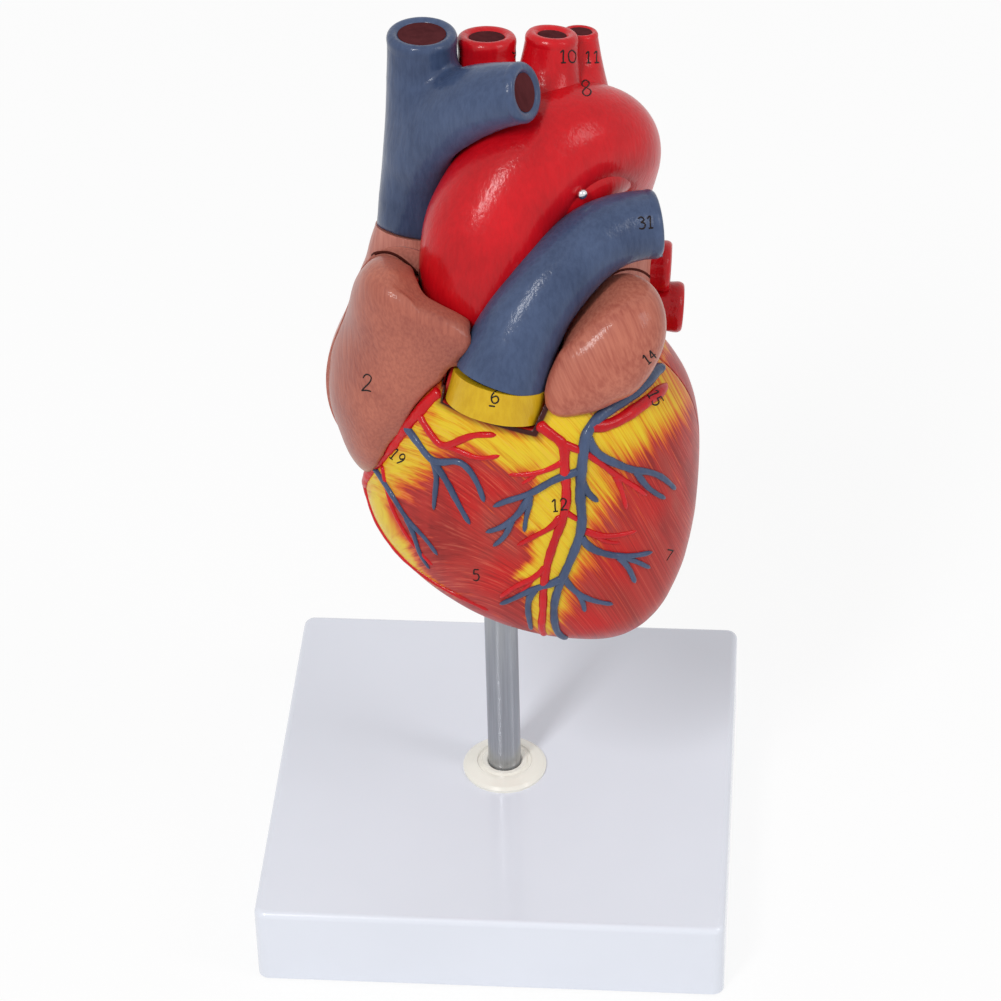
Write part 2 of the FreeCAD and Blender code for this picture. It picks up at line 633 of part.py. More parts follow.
def half_round(p, out, across, r):
    """Domed section whose flat foot rests on the face."""
    left = p - across * r
    right = p + across * r
    dome = Part.Arc(left, p + out * (1.05 * r), right).toShape()
    return Part.Wire([dome, Part.makeLine(right, left)])


def relief(route, r0, r1, side, lines):
    """Tapering vessel on the face, started clear of the vessels before it."""
    pts = route_points(route, side, max(r0, r1))
    last = len(pts) - 1
    radii = [r0 + (r1 - r0) * i / float(last) for i in range(last + 1)]
    first = 0
    while first < last - 4 and not clear_of(pts[first][2], BURIED + 0.4 * radii[first], lines):
        first += 1
    close = [i for i in range(first + 5, last + 1) if not clear_of(pts[i][2], radii[i], lines)]
    if close:
        print("  meets another vessel at", [round(c, 1) for c in pts[close[0]][:2]])
    marks = sorted(set([first, min(first + 2, last), last] + list(range(first + 5, last - 3, 6)) + [max(last - 2, first + 3)]))
    wires = []
    for i in marks:
        x, z, p = pts[i]
        r = radii[i]
        if i == first or i == last:
            r = 0.4 * r
        way = unit(pts[min(i + 1, last)][2] - pts[max(i - 1, 0)][2])
        out = FACE.normal(x, z, side)
        out = unit(out - way * out.dot(way))
        wires.append(half_round(p, out, way.cross(out), r))
    lines.append(([p for _, _, p in pts[first:]], radii[first:]))
    return Part.makeLoft(wires, True, False)


RIGHT_CORONARY = [
    ([(-11.4, 165.8), (-13.8, 161.5), (-16.0, 156.2), (-17.8, 151.4), (-19.9, 147.0), (-22.2, 143.0), (-24.8, 139.2), (-27.0, 136.2), (-28.6, 133.8)], 1.15, 1.0),
    ([(-14.4, 160.3), (-11.7, 157.0), (-9.7, 155.7), (-6.4, 157.5), (-1.4, 160.4), (3.7, 161.3)], 0.95, 0.6),
    ([(-9.7, 155.7), (-5.7, 154.6), (-1.1, 154.4), (4.5, 156.2)], 0.8, 0.5),
]
MARGINAL = [([(-28.9, 133.0), (-29.3, 124.0), (-26.0, 118.4), (-20.2, 114.1), (-13.0, 111.0), (0.5, 106.1)], 1.0, 0.55)]
ANTERIOR_VEINS = [
    ([(-17.5, 153.8), (-15.1, 153.2), (-11.6, 150.5), (-5.3, 151.3), (-1.7, 148.5), (0.4, 142.1)], 0.9, 0.5),
    ([(-11.6, 150.5), (-11.1, 147.1), (-12.1, 136.5)], 0.7, 0.4),
    ([(-9.6, 150.5), (-7.2, 146.5), (-3.2, 134.9)], 0.7, 0.4),
]
SMALL_VEIN = [
    ([(-27.0, 136.4), (-23.6, 135.1), (-19.2, 130.9), (-14.7, 127.1), (-11.6, 122.9)], 0.8, 0.45),
    ([(-19.2, 130.9), (-17.8, 128.0), (-16.0, 120.7), (-13.9, 116.7)], 0.7, 0.4),
]
DESCENDING = [
    ([(14.8, 162.6), (19.0, 159.2), (19.7, 155.4), (20.0, 146.9), (19.3, 138.6), (17.5, 133.0), (15.2, 123.6), (14.1, 114.5), (13.7, 107.3)], 1.2, 0.7),
    ([(19.4, 154.6), (12.3, 152.0), (6.3, 151.4)], 0.75, 0.4),
    ([(18.3, 138.1), (13.5, 134.1), (8.1, 129.7)], 0.75, 0.4),
    ([(14.7, 122.7), (7.8, 116.9), (3.5, 112.2)], 0.75, 0.4),
]
GREAT_VEIN = [
    ([(41.0, 160.6), (36.0, 162.4), (31.0, 161.9), (26.6, 160.6), (24.4, 157.4), (23.6, 152.3), (23.3, 142.3), (23.5, 135.7), (22.3, 129.8), (19.4, 119.9), (17.6, 112.3), (17.6, 101.8), (18.6, 98.0)], 1.25, 0.8),
    ([(24.6, 156.6), (32.2, 150.8), (35.9, 147.6), (41.3, 143.3), (45.3, 136.0)], 0.85, 0.45),
    ([(35.9, 147.6), (38.8, 141.4), (43.0, 135.4)], 0.6, 0.4),
    ([(17.0, 149.6), (11.7, 145.8), (5.4, 142.8), (2.5, 141.0)], 0.75, 0.4),
    ([(11.2, 145.5), (11.2, 143.1), (10.4, 138.3), (9.9, 134.6)], 0.6, 0.4),
    ([(11.0, 142.6), (8.6, 139.7), (4.8, 135.3), (0.6, 133.2)], 0.6, 0.4),
    ([(23.5, 131.4), (27.5, 126.4), (32.7, 123.6), (40.0, 121.3)], 0.8, 0.45),
    ([(32.7, 123.6), (39.5, 116.5)], 0.6, 0.4),
    ([(19.4, 120.2), (22.9, 113.9), (30.7, 108.6)], 0.75, 0.4),
    ([(12.6, 116.8), (8.0, 112.9), (3.4, 108.9)], 0.6, 0.4),
]
LEFT_BRANCH = [
    ([(25.2, 153.0), (30.5, 147.6), (38.4, 138.4)], 0.8, 0.45),
    ([(31.0, 147.0), (32.0, 144.0), (34.1, 136.4)], 0.65, 0.4),
]
SINUS = [([(33.0, 155.4), (26.0, 153.4), (17.0, 152.8), (6.0, 153.2), (-7.4, 154.2)], 1.8, 2.9)]
MIDDLE_VEIN = [
    ([(5.5, 153.5), (9.5, 143.5), (13.5, 132.5), (18.5, 119.5), (23.0, 109.0)], 1.25, 0.8),
    ([(13.5, 132.5), (22.0, 133.0), (30.0, 129.0)], 0.85, 0.45),
]
POSTERIOR_ARTERY = [
    ([(0.5, 152.0), (5.2, 142.6), (9.2, 131.6), (14.2, 118.6), (18.7, 107.6)], 1.1, 0.7),
    ([(5.2, 142.6), (-2.0, 136.0), (-6.6, 131.0)], 0.8, 0.45),
]

for side, group in (
        (-1.0, [
            ("right_coronary_artery", RIGHT_CORONARY),
            ("marginal_artery", MARGINAL),
            ("anterior_cardiac_veins", ANTERIOR_VEINS),
            ("small_cardiac_vein", SMALL_VEIN),
            ("anterior_descending_artery", DESCENDING),
            ("great_cardiac_vein", GREAT_VEIN),
            ("left_ventricular_branch", LEFT_BRANCH)]),
        (1.0, [
            ("coronary_sinus", SINUS),
            ("middle_cardiac_vein", MIDDLE_VEIN),
            ("posterior_descending_artery", POSTERIOR_ARTERY)])):
    lines = []
    for name, routes in group:
        save(name, Part.makeCompound([relief(p, a, b, side, lines) for p, a, b in routes]))

# ---- hardware of the heart ------------------------------------------------
def magnets(front):
    discs = []
    for x, z in MAGNETS:
        y = PART_Y - SEAM - MAGNET_T if front else PART_Y + SEAM
        disc = Part.makeCylinder(MAGNET_R, MAGNET_T, V(x, y, z), Y)
        discs.append(disc)
    return Part.makeCompound(discs)


save("front_magnets", magnets(True))
save("rear_magnets", magnets(False))

bush = Part.makeCylinder(BUSH_R, SOCKET_TOP - 60.0, V(0, 0, 60.0)).common(ventricles)
bush = bush.cut(Part.makeCylinder(SOCKET_R, SOCKET_TOP - 60.0, V(0, 0, 60.0)))
save("socket_bush", biggest(bush))
save("arch_pin", Part.makeSphere(1.3, V(22.3, -4.8, 207.9)).cut(trunk_form).cut(aorta_form))

# ---- stand ----------------------------------------------------------------
base = Part.makeBox(BASE_W, BASE_W, BASE_TOP - FOOT_PROUD, V(-BASE_W / 2, -BASE_W / 2, FOOT_PROUD))
uprights = [e for e in base.Edges if abs(e.Vertexes[0].Z - e.Vertexes[1].Z) > 5.0]
base = base.makeFillet(BASE_CORNER_R, uprights)
rim_edges = [e for e in base.Edges if e.BoundBox.ZMin > BASE_TOP - 0.01]
base = base.makeFillet(BASE_EDGE_R, rim_edges)
inner = BASE_W - 2 * BASE_WALL
hollow = Part.makeBox(inner, inner, BASE_TOP - FOOT_PROUD - BASE_WALL, V(-inner / 2, -inner / 2, FOOT_PROUD))
hollow = hollow.makeFillet(BASE_CORNER_R - 1.0, [e for e in hollow.Edges if abs(e.Vertexes[0].Z - e.Vertexes[1].Z) > 5.0])
boss = Part.makeCylinder(BOSS_R, BASE_TOP - 3.0, V(0, 0, 3.0))
ribs = []
for k in range(4):
    rib = Part.makeBox(BASE_W / 2 - 1.0, RIB_T, BASE_TOP - 5.0, V(0, -RIB_T / 2, 4.0))
    rib.rotate(V(0, 0, 0), Z, 90.0 * k)
    ribs.append(rib)
    pad = Part.makeCylinder(FOOT_R + 1.8, BASE_TOP - FOOT_PROUD - 1.0, V(FOOT_AT, FOOT_AT, FOOT_PROUD))
    pad = pad.cut(Part.makeCylinder(FOOT_R - 1.5, 14.0, V(FOOT_AT, FOOT_AT, 2.4)))
    pad.rotate(V(0, 0, 0), Z, 90.0 * k)
    ribs.append(pad)
solid_block = base.copy()
base = base.cut(hollow).fuse(fuse_all([boss] + ribs).common(solid_block))
feet = []
for k in range(4):
    foot = Part.makeCylinder(FOOT_R, 1.9, V(FOOT_AT, FOOT_AT, 0.0))
    foot = foot.makeChamfer(0.35, [foot.Edges[2]] if foot.Edges[2].BoundBox.ZMax < 0.01 else [e for e in foot.Edges if e.BoundBox.ZMax < 0.01])
    foot.rotate(V(0, 0, 0), Z, 90.0 * k)
    feet.append(foot)
feet = Part.makeCompound(feet)
base = base.cut(Part.makeCompound([Part.makeCylinder(FOOT_R, 1.9 - FOOT_PROUD, V(sx * FOOT_AT, sy * FOOT_AT, FOOT_PROUD)) for sx in (1, -1) for sy in (1, -1)]))

# Collar: a low domed flange with a stepped centre and a sleeve in the boss.
SLEEVE_R = 6.6
profile = [
    V(COLLAR_BORE_R, 0, 5.0), V(SLEEVE_R, 0, 5.0), V(SLEEVE_R, 0, BASE_TOP), V(COLLAR_R, 0, BASE_TOP),
    V(COLLAR_R, 0, BASE_TOP + 0.7), V(COLLAR_R - 0.8, 0, BASE_TOP + 1.3), V(8.0, 0, BASE_TOP + 2.1),
    V(7.3, 0, BASE_TOP + 2.2), V(7.0, 0, BASE_TOP + 1.8), V(6.2, 0, BASE_TOP + 1.8), V(5.8, 0, BASE_TOP + 2.3),
    V(COLLAR_BORE_R + 0.4, 0, BASE_TOP + 2.3), V(COLLAR_BORE_R, 0, BASE_TOP + 1.9), V(COLLAR_BORE_R, 0, 5.0)]
collar = Part.Face(Part.makePolygon(profile)).revolve(V(0, 0, 0), Z, 360)
collar = collar.fuse(Part.makeCylinder(SLEEVE_R, 1.2, V(0, 0, 3.8)))
base = base.cut(Part.makeCylinder(SLEEVE_R, BASE_TOP, V(0, 0, 3.8)))
save("base_plate", biggest(base))
save("rubber_feet", feet)
save("collar", biggest(collar))

rod = Part.makeCylinder(ROD_R, ROD_TOP - 5.0 - 0.05, V(0, 0, 5.05))
rod = rod.makeChamfer(0.8, [e for e in rod.Edges if e.BoundBox.ZMin > ROD_TOP - 0.1 or e.BoundBox.ZMax < 5.2])
save("stand_rod", rod)
print("parts written")
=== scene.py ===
# %% [markdown]
# # A two-part teaching heart on a rod stand
# The stand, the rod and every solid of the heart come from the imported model, as a fixed frame.
# This lesson gives them their paint, and lays new surfaces over them where paint or relief is
# finer than a solid should carry: the painted skin of the ventricles, the raised vessels, the
# dark linings of the cut vessels and the small hand-written numbers.

# %% Load the frame
import json
import math
import bmesh
import bpy
import numpy as np
from mathutils import Matrix, Vector
from mathutils.bvhtree import BVHTree


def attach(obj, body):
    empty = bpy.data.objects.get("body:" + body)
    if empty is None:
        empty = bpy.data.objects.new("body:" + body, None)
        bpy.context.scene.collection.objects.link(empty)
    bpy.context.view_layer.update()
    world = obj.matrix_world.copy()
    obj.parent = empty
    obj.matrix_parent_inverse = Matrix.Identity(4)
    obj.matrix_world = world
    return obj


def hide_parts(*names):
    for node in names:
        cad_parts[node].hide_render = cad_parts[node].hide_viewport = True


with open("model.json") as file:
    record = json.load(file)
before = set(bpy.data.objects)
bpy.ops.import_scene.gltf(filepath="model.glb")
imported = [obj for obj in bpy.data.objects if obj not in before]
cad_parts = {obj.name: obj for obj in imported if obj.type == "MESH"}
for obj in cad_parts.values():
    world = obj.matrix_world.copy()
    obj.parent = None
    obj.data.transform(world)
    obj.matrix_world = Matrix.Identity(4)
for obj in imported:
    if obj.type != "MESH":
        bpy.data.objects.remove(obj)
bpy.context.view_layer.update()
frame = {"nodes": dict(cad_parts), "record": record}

MM = 0.001

# %% [markdown]
# ## Small tools for node materials
# A material is a little graph. These helpers add a node, set its sockets by name and join two
# sockets, so that each finish below reads as a recipe and not as plumbing.

# %% Material helpers
def new_material(name):
    """An empty node material with a Principled shader, returned as (material, tree, shader)."""
    mat = bpy.data.materials.new(name)
    mat.use_nodes = True
    tree = mat.node_tree
    tree.nodes.clear()
    out = tree.nodes.new("ShaderNodeOutputMaterial")
    shader = tree.nodes.new("ShaderNodeBsdfPrincipled")
    tree.links.new(shader.outputs["BSDF"], out.inputs["Surface"])
    return mat, tree, shader


def set_inputs(tree, node, inputs):
    """Sets sockets, by name or number: a socket given for one is joined to it, else it's a value."""
    for key, value in inputs.items():
        if isinstance(value, bpy.types.NodeSocket):
            tree.links.new(value, node.inputs[key])
        else:
            node.inputs[key].default_value = value


def add(tree, kind, inputs=None, **settings):
    """One node: settings are its properties, inputs its sockets."""
    node = tree.nodes.new("ShaderNode" + kind)
    for key, value in settings.items():
        setattr(node, key, value)
    set_inputs(tree, node, inputs or {})
    return node


def coords_of(tree):
    """The piece's own coordinates, in metres."""
    return add(tree, "TexCoord").outputs["Object"]


def stretched(tree, vector, scale, turn=(0.0, 0.0, 0.0)):
    """Coordinates scaled along their axes, or turned."""
    return add(tree, "Mapping", {"Vector": vector, "Scale": scale, "Rotation": turn}).outputs["Vector"]


def noise(tree, vector, scale, detail=2.0, rough=0.5):
    """Cloudy noise about 0.5; scale is how many clouds there are to the unit."""
    inputs = {"Vector": vector, "Scale": scale, "Detail": detail, "Roughness": rough}
    return add(tree, "TexNoise", inputs).outputs["Fac"]


def bumped(tree, height, strength, distance):
    """Normals of a relief, distance metres deep at strength 1."""
    inputs = {"Height": height, "Strength": strength, "Distance": distance}
    return add(tree, "Bump", inputs).outputs["Normal"]


def maths(tree, operation, a, b):
    """The sum, difference, product or greater of two values, by the operation's name."""
    return add(tree, "Math", {0: a, 1: b}, operation=operation).outputs[0]


def ramp(tree, factor, stops):
    """A colour ramp through (position, linear rgb) stops."""
    node = add(tree, "ValToRGB", {"Fac": factor})
    elements = node.color_ramp.elements
    while len(elements) < len(stops):
        elements.new(0.5)
    for element, (at, rgb) in zip(elements, stops):
        element.position = at
        element.color = (*rgb, 1.0)
    return node.outputs["Color"]


def mix_colour(tree, factor, a, b, blend="MIX"):
    """Mixes two colours, either of which may be a socket or a linear rgb."""
    a, b = (c if isinstance(c, bpy.types.NodeSocket) else (*c, 1.0) for c in (a, b))
    return add(tree, "Mix", {0: factor, 6: a, 7: b}, data_type="RGBA", blend_type=blend).outputs[2]


def laid(tree, under, over, factor, *stops, blend="MIX"):
    """A colour laid over another; how much of it follows factor, through (factor, amount) stops."""
    share = ramp(tree, factor, [(at, (amount,) * 3) for at, amount in stops])
    return mix_colour(tree, share, under, over, blend)


def srgb(r, g, b):
    """Linear rgb of an 8-bit display colour."""
    c = np.array([r, g, b]) / 255.0
    return tuple(float(v) for v in np.where(c <= 0.04045, c / 12.92, ((c + 0.055) / 1.055) ** 2.4))


def srgb_ramp(tree, factor, *stops):
    """A ramp through (position, r, g, b) stops of 8-bit display colours."""
    return ramp(tree, factor, [(at, srgb(*rgb)) for at, *rgb in stops])


print("white reads", srgb(255, 255, 255))

# %% [markdown]
# ## Lacquered paint
# The casting is brushed with colour and then lacquered, so light gives a soft body colour and a
# sharp wet highlight on top. The colour is uneven in broad patches, where the brush was wetter,
# and in fine strokes along the form. An image could carry the strokes, but it would have seams,
# and noise that is stretched along the form has none and stays sharp from near by. The lacquer
# is a clear coat over a fairly smooth base. Colours are given as 8-bit display colours.

# %% Lacquered paints
def lacquer(name, dark, light, stretch=(1.0, 1.0, 0.25), fine=900.0, patch=45.0, strength=0.35, rough=0.32,
            bump=0.5, grain=(0.0, 0.0, 1.0), coat=0.32, level=0.12):
    """Brushed colour under a clear coat; the strokes are drawn out along grain by the last stretch."""
    mat, tree, shader = new_material(name)
    dark, light = srgb(*dark), srgb(*light)
    coords = coords_of(tree)
    turn = Vector(grain).rotation_difference(Vector((0.0, 0.0, 1.0))).to_euler()
    along = stretched(tree, stretched(tree, coords, (1.0, 1.0, 1.0), turn), stretch)
    strokes = noise(tree, along, fine, 3.0, 0.6)
    body = ramp(tree, noise(tree, coords, patch), [(0.30, dark), (0.70, light)])
    stroke = ramp(tree, strokes, [(0.35, dark), (0.62, light)])
    relief = bumped(tree, strokes, bump, 0.00025)
    set_inputs(tree, shader, {
        "Base Color": mix_colour(tree, strength, body, stroke), "Normal": relief, "Coat Normal": relief,
        "Roughness": rough, "Specular IOR Level": level, "Coat Weight": coat, "Coat Roughness": 0.12})
    return mat


def washed(mat, low, high, rgb, amount):
    """A wash of another colour over a paint, from nothing at height high to its full amount at low."""
    tree = mat.node_tree
    shader = tree.nodes["Principled BSDF"]
    height = add(tree, "SeparateXYZ", {0: coords_of(tree)}).outputs["Z"]
    share = add(tree, "MapRange", {0: height, 1: low, 2: high, 3: amount, 4: 0.0}).outputs[0]
    under = shader.inputs["Base Color"].links[0].from_socket
    set_inputs(tree, shader, {"Base Color": mix_colour(tree, share, under, srgb(*rgb))})


# the ways that the strokes run on the atria, and what some of the paints share
STEEP, LEANING = (0.0, 0.61, 0.79), (-0.42, 0.55, 0.72)
HAIRY = {"stretch": (1.0, 1.0, 0.05), "fine": 1500.0, "patch": 60.0, "strength": 0.5, "rough": 0.4,
         "bump": 0.3, "grain": STEEP}
CAST = {"stretch": (1.0, 1.0, 0.4), "patch": 60.0, "strength": 0.5}
DULL = {"fine": 600.0, "coat": 0.0}
artery_red = lacquer("artery_red", (178, 8, 20), (212, 16, 28), patch=60.0, strength=0.3)
vein_blue = lacquer("vein_blue", (52, 66, 96), (74, 90, 122), patch=70.0)
atrium_pink = lacquer("atrium_pink", (168, 97, 85), (206, 137, 121), **HAIRY)
right_pink = lacquer("right_pink", (145, 75, 65), (185, 109, 89),
                     **{**HAIRY, "strength": 0.42, "bump": 0.4})
left_pink = lacquer("left_pink", (158, 80, 66), (196, 120, 98),
                    **{**HAIRY, "fine": 1200.0, "grain": LEANING})
washed(right_pink, 0.128, 0.142, (170, 132, 66), 0.7)
washed(left_pink, 0.1625, 0.1672, (196, 146, 40), 0.75)
ring_yellow = lacquer("ring_yellow", (196, 152, 16), (216, 178, 34), patch=90.0, strength=0.4)
muscle_red = lacquer("muscle_red", (150, 26, 24), (186, 40, 34), fine=700.0, rough=0.42, bump=0.2, **CAST)
inner_red = lacquer("inner_red", (150, 60, 52), (190, 92, 80), fine=500.0, rough=0.5, bump=0.3, **CAST)
valve_cream = lacquer("valve_cream", (214, 186, 150), (236, 214, 182), patch=200.0, fine=600.0, rough=0.45)
lumen_dark = lacquer("lumen_dark", (72, 35, 38), (98, 49, 52), rough=0.8, level=0.0, **DULL)
lumen_dark.node_tree.nodes["Principled BSDF"].inputs["IOR"].default_value = 1.01
# dark brown for the painted shade in the joints beside the auricles
joint_shade_brown = lacquer("joint_shade_brown", (66, 28, 24), (92, 44, 36), rough=0.7, level=0.05, **DULL)
ink = lacquer("ink", (20, 12, 12), (40, 26, 26), rough=0.5, coat=0.1)
print("lacquers", len(bpy.data.materials))

# %% [markdown]
# ## Hard finishes of the stand
# The base is a glossy injection moulding with a faint haze, the collar the same in cream. The
# rod is drawn steel: fine scratches run along it, which spread a highlight sideways. They are
# too fine and too many to be modelled, so they are a bump made from stretched noise.

# %% Stand finishes
def clouded(tree, factor, share, rgb):
    """A colour, darker by its share where factor is low."""
    return ramp(tree, factor, [(0.3, tuple(share * c for c in rgb)), (0.7, rgb)])


def moulded(name, rgb, rough=0.22):
    """Glossy moulded plastic with a very faint cloudiness and orange-peel."""
    mat, tree, shader = new_material(name)
    coords = coords_of(tree)
    set_inputs(tree, shader, {
        "Base Color": clouded(tree, noise(tree, coords, 30.0), 0.975, srgb(*rgb)),
        "Normal": bumped(tree, noise(tree, coords, 500.0, 1.0), 0.05, 0.0001),
        "Roughness": rough, "Coat Weight": 0.3, "Coat Roughness": 0.08})
    return mat


def metal(name, rgb, rough, stretch, depth=0.00003):
    """Metal with scratches drawn out along one way."""
    mat, tree, shader = new_material(name)
    scratch = noise(tree, stretched(tree, coords_of(tree), stretch), 2500.0, 4.0)
    set_inputs(tree, shader, {
        "Base Color": clouded(tree, scratch, 0.82, srgb(*rgb)), "Normal": bumped(tree, scratch, 0.4, depth),
        "Metallic": 1.0, "Roughness": rough})
    return mat


base_white = moulded("base_white", (229, 233, 243))
collar_cream = moulded("collar_cream", (244, 242, 232))
rod_steel = metal("rod_steel", (172, 174, 178), 0.3, (1.0, 1.0, 0.02))
bush_metal = metal("bush_metal", (200, 202, 206), 0.3, (1.0, 1.0, 0.2))
pin_chrome = metal("pin_chrome", (225, 225, 228), 0.1, (1.0, 1.0, 1.0), 0.00001)
foot_rubber = moulded("foot_rubber", (38, 38, 38), 0.7)
print("finishes", len(bpy.data.materials))

# %% [markdown]
# ## Painting the solids
# Most of the solids have the right form already and only need their finish. The record says to
# which slot each of them belongs. One table from slot to finish paints them all, so a finish
# that is changed later changes on every solid that has it.

# %% Finishes on the solids
SLOT_FINISH = {
    "base": base_white, "feet": foot_rubber, "collar": collar_cream, "rod": rod_steel,
    "muscle": muscle_red, "atrium": atrium_pink, "artery": artery_red, "vein": vein_blue,
    "fat": ring_yellow, "valve": valve_cream, "cord": valve_cream, "inner": inner_red,
    "magnet": pin_chrome, "bush": bush_metal, "pin": pin_chrome,
}
for entry in frame["record"]["subparts"]:
    solid = frame["nodes"][entry["node"]]
    solid.data.materials.clear()
    solid.data.materials.append(SLOT_FINISH[entry["material_slot"]])

# %% [markdown]
# ## The outer form of the ventricles as a formula
# The muscle of the heart is one rounded form: a stack of slightly squared ellipses whose centre
# and half widths run along smooth curves. A natural cubic spline gives those curves. The form
# could be sculpted, but once it is a formula, the painted skin and every vessel can be laid on it
# exactly, at any point.

# %% The spline
def unit(v, least=0.0):
    """Vectors of length 1 along v; a length under least counts as least."""
    return v / np.maximum(np.linalg.norm(v, axis=-1, keepdims=True), least)


def natural_spline(knots, values):
    """Second derivatives of the natural cubic through the rows, from its tridiagonal system."""
    n = len(knots)
    h = np.diff(knots)
    system = np.eye(n)
    right_side = np.zeros((n, values.shape[1]))
    inner = np.arange(1, n - 1)
    system[inner, inner - 1] = h[:-1]
    system[inner, inner] = 2.0 * (h[:-1] + h[1:])
    system[inner, inner + 1] = h[1:]
    slope = np.diff(values, axis=0) / h[:, None]
    right_side[1:-1] = 6.0 * np.diff(slope, axis=0)
    return np.linalg.solve(system, right_side)


def through(rows, count, measure=None):
    """Points of the natural cubic through rows, evenly spaced by chord length of some columns."""
    rows = np.asarray(rows, float)
    used = rows if measure is None else rows[:, list(measure)]
    knots = np.concatenate([[0.0], np.cumsum(np.linalg.norm(np.diff(used, axis=0), axis=1))])
    at = np.linspace(0.0, knots[-1], count)
    if len(rows) < 3:
        f = (at / knots[-1])[:, None]
        return rows[0] * (1.0 - f) + rows[1] * f
    second = natural_spline(knots, rows)
    i = np.clip(np.searchsorted(knots, at, side="right") - 1, 0, len(rows) - 2)
    h = (knots[i + 1] - knots[i])[:, None]
    a = (knots[i + 1] - at)[:, None] / h
    b = 1.0 - a
    cubic = ((a ** 3 - a) * second[i] + (b ** 3 - b) * second[i + 1]) * h * h / 6.0
    return a * rows[i] + b * rows[i + 1] + cubic


print("halfway along a straight line", through([(0, 0), (2, 4)], 3)[1])

# %% The form: height, centre x, centre y, half width and half depth, all in mm
VENTRICLES = np.array([
    (88, 27.5, -18, 0, 0), (88.8, 27, -18, 6, 5.5), (92, 24, -17, 14.5, 12), (98, 18.4, -15.5, 24.8, 19.5),
    (108, 13, -12.5, 34.5, 26), (122, 9.7, -9.5, 40.3, 30.5), (137, 9.6, -7.5, 40.9, 32.5),
    (150, 10.3, -7, 38.5, 32.8), (161, 9.5, -8, 33, 31.5), (170, 7.5, -9.5, 24, 24.5),
    (177, 5, -11.5, 14, 15.5), (180.5, 4, -12.5, 7, 8), (181.5, 4, -12.5, 0, 0)])
STACK = through(VENTRICLES, 3000, (0, 1, 3))
SQUARE = 2.1  # the power p of the sections; 2 would give plain ellipses
NARROW = 0.1  # the least width that anything is divided by


def stack_at(z):
    """Centre x, centre y, half width and half depth of the form at heights z."""
    return [np.interp(z, STACK[:, 0], STACK[:, k]) for k in (1, 2, 3, 4)]


def face(x, z, side=-1.0, out=0.0):
    """The form's face at (x, z), seen from the front (side -1) or back, moved out along its normal.

    depth = (1 - |(x - cx) / ax| ** p) ** (1 / p), y = cy + side * ay * depth
    """
    x, z = np.broadcast_arrays(np.asarray(x, float), np.asarray(z, float))
    cx, cy, ax, ay = stack_at(z)
    wide, deep = np.maximum(ax, NARROW), np.maximum(ay, NARROW)
    u = np.clip(np.abs((x - cx) / wide), 0.0, 0.9995)
    y = cy + side * ay * (1.0 - u ** SQUARE) ** (1.0 / SQUARE)
    step = 0.05
    grow = (np.array(stack_at(z + step)) - np.array(stack_at(z - step))) / (2 * step)
    dx, dy = x - cx, y - cy
    normal = np.stack([dx / wide ** 2, dy / deep ** 2, np.zeros_like(x)], -1)
    ratio = dx ** 2 / wide ** 3 * grow[2] + dy ** 2 / deep ** 3 * grow[3]
    drift = dx / wide ** 2 * grow[0] + dy / deep ** 2 * grow[1]
    normal[..., 2] = -(ratio + drift)
    normal = unit(normal)
    return np.stack([x, y, z], -1) + normal * np.asarray(out)[..., None], normal


print("face at the middle", np.round(face(10.0, 137.0)[0], 1))

# %% [markdown]
# ## Grids into meshes
# Each new surface is a grid of points. The faces only depend on the grid's size, so one helper
# joins neighbours into quads, wraps around where the surface closes, and turns millimetres into
# metres. Attributes such as how fatty the paint is are written per point.

# %% Mesh helpers
def grid_faces(rows, columns, wrap=False):
    """Quads of a grid of rows x columns points; wrap joins the last column to the first."""
    r = np.arange(rows - 1)[:, None]
    c = np.arange(columns if wrap else columns - 1)[None, :]
    n = (c + 1) % columns
    quads = np.stack([r * columns + c, r * columns + n, (r + 1) * columns + n, (r + 1) * columns + c], -1)
    return quads.reshape(-1, 4)


def quads_and_triangles(faces):
    """Faces as lists: a quad with two equal neighbours becomes a triangle, one with more is dropped."""
    same = faces == np.roll(faces, -1, axis=1)
    pinched = faces[same.sum(1) == 1]
    first = same[same.sum(1) == 1].argmax(1)[:, None]
    triangles = np.take_along_axis(pinched, (first + 1 + np.arange(3)) % 4, axis=1)
    return faces[same.sum(1) == 0].tolist() + triangles.tolist()


def joined(grids):
    """Several (points, faces) made one, with the faces' numbers moved on."""
    points, faces, start = [], [], 0
    for p, f in grids:
        points.append(p)
        faces.append(f + start)
        start += len(p)
    return np.concatenate(points), np.concatenate(faces)


def read_rows(items, key, width, kind=float):
    """One property of every vertex, edge or loop of a mesh, as rows of width numbers."""
    flat = np.empty(len(items) * width, kind)
    items.foreach_get(key, flat)
    return flat.reshape(-1, width)


def new_object(name, data):
    """An object that shows some data in the scene."""
    thing = bpy.data.objects.new(name, data)
    bpy.context.scene.collection.objects.link(thing)
    return thing


def mesh_object(name, points, faces, material, body, values=None, uv=None):
    """A smooth mesh from points in mm and quads (a repeated corner makes a triangle), riding on a body."""
    mesh = bpy.data.meshes.new(name)
    mesh.from_pydata((np.asarray(points) * MM).tolist(), [], quads_and_triangles(np.asarray(faces)))
    mesh.polygons.foreach_set("use_smooth", np.ones(len(mesh.polygons), bool))
    for key, data in (values or {}).items():
        layer = mesh.attributes.new(key, "FLOAT", "POINT")
        layer.data.foreach_set("value", np.asarray(data, np.float32).ravel())
    if uv is not None:
        corners = read_rows(mesh.loops, "vertex_index", 1, np.int32)[:, 0]
        mesh.uv_layers.new(name="brush").data.foreach_set("uv", np.asarray(uv, np.float32)[corners].ravel())
    mesh.materials.append(material)
    mesh.update()
    thing = new_object(name, mesh)
    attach(thing, body)
    return thing


print("a 3 x 4 wrapped grid has", len(grid_faces(3, 4, True)), "quads")

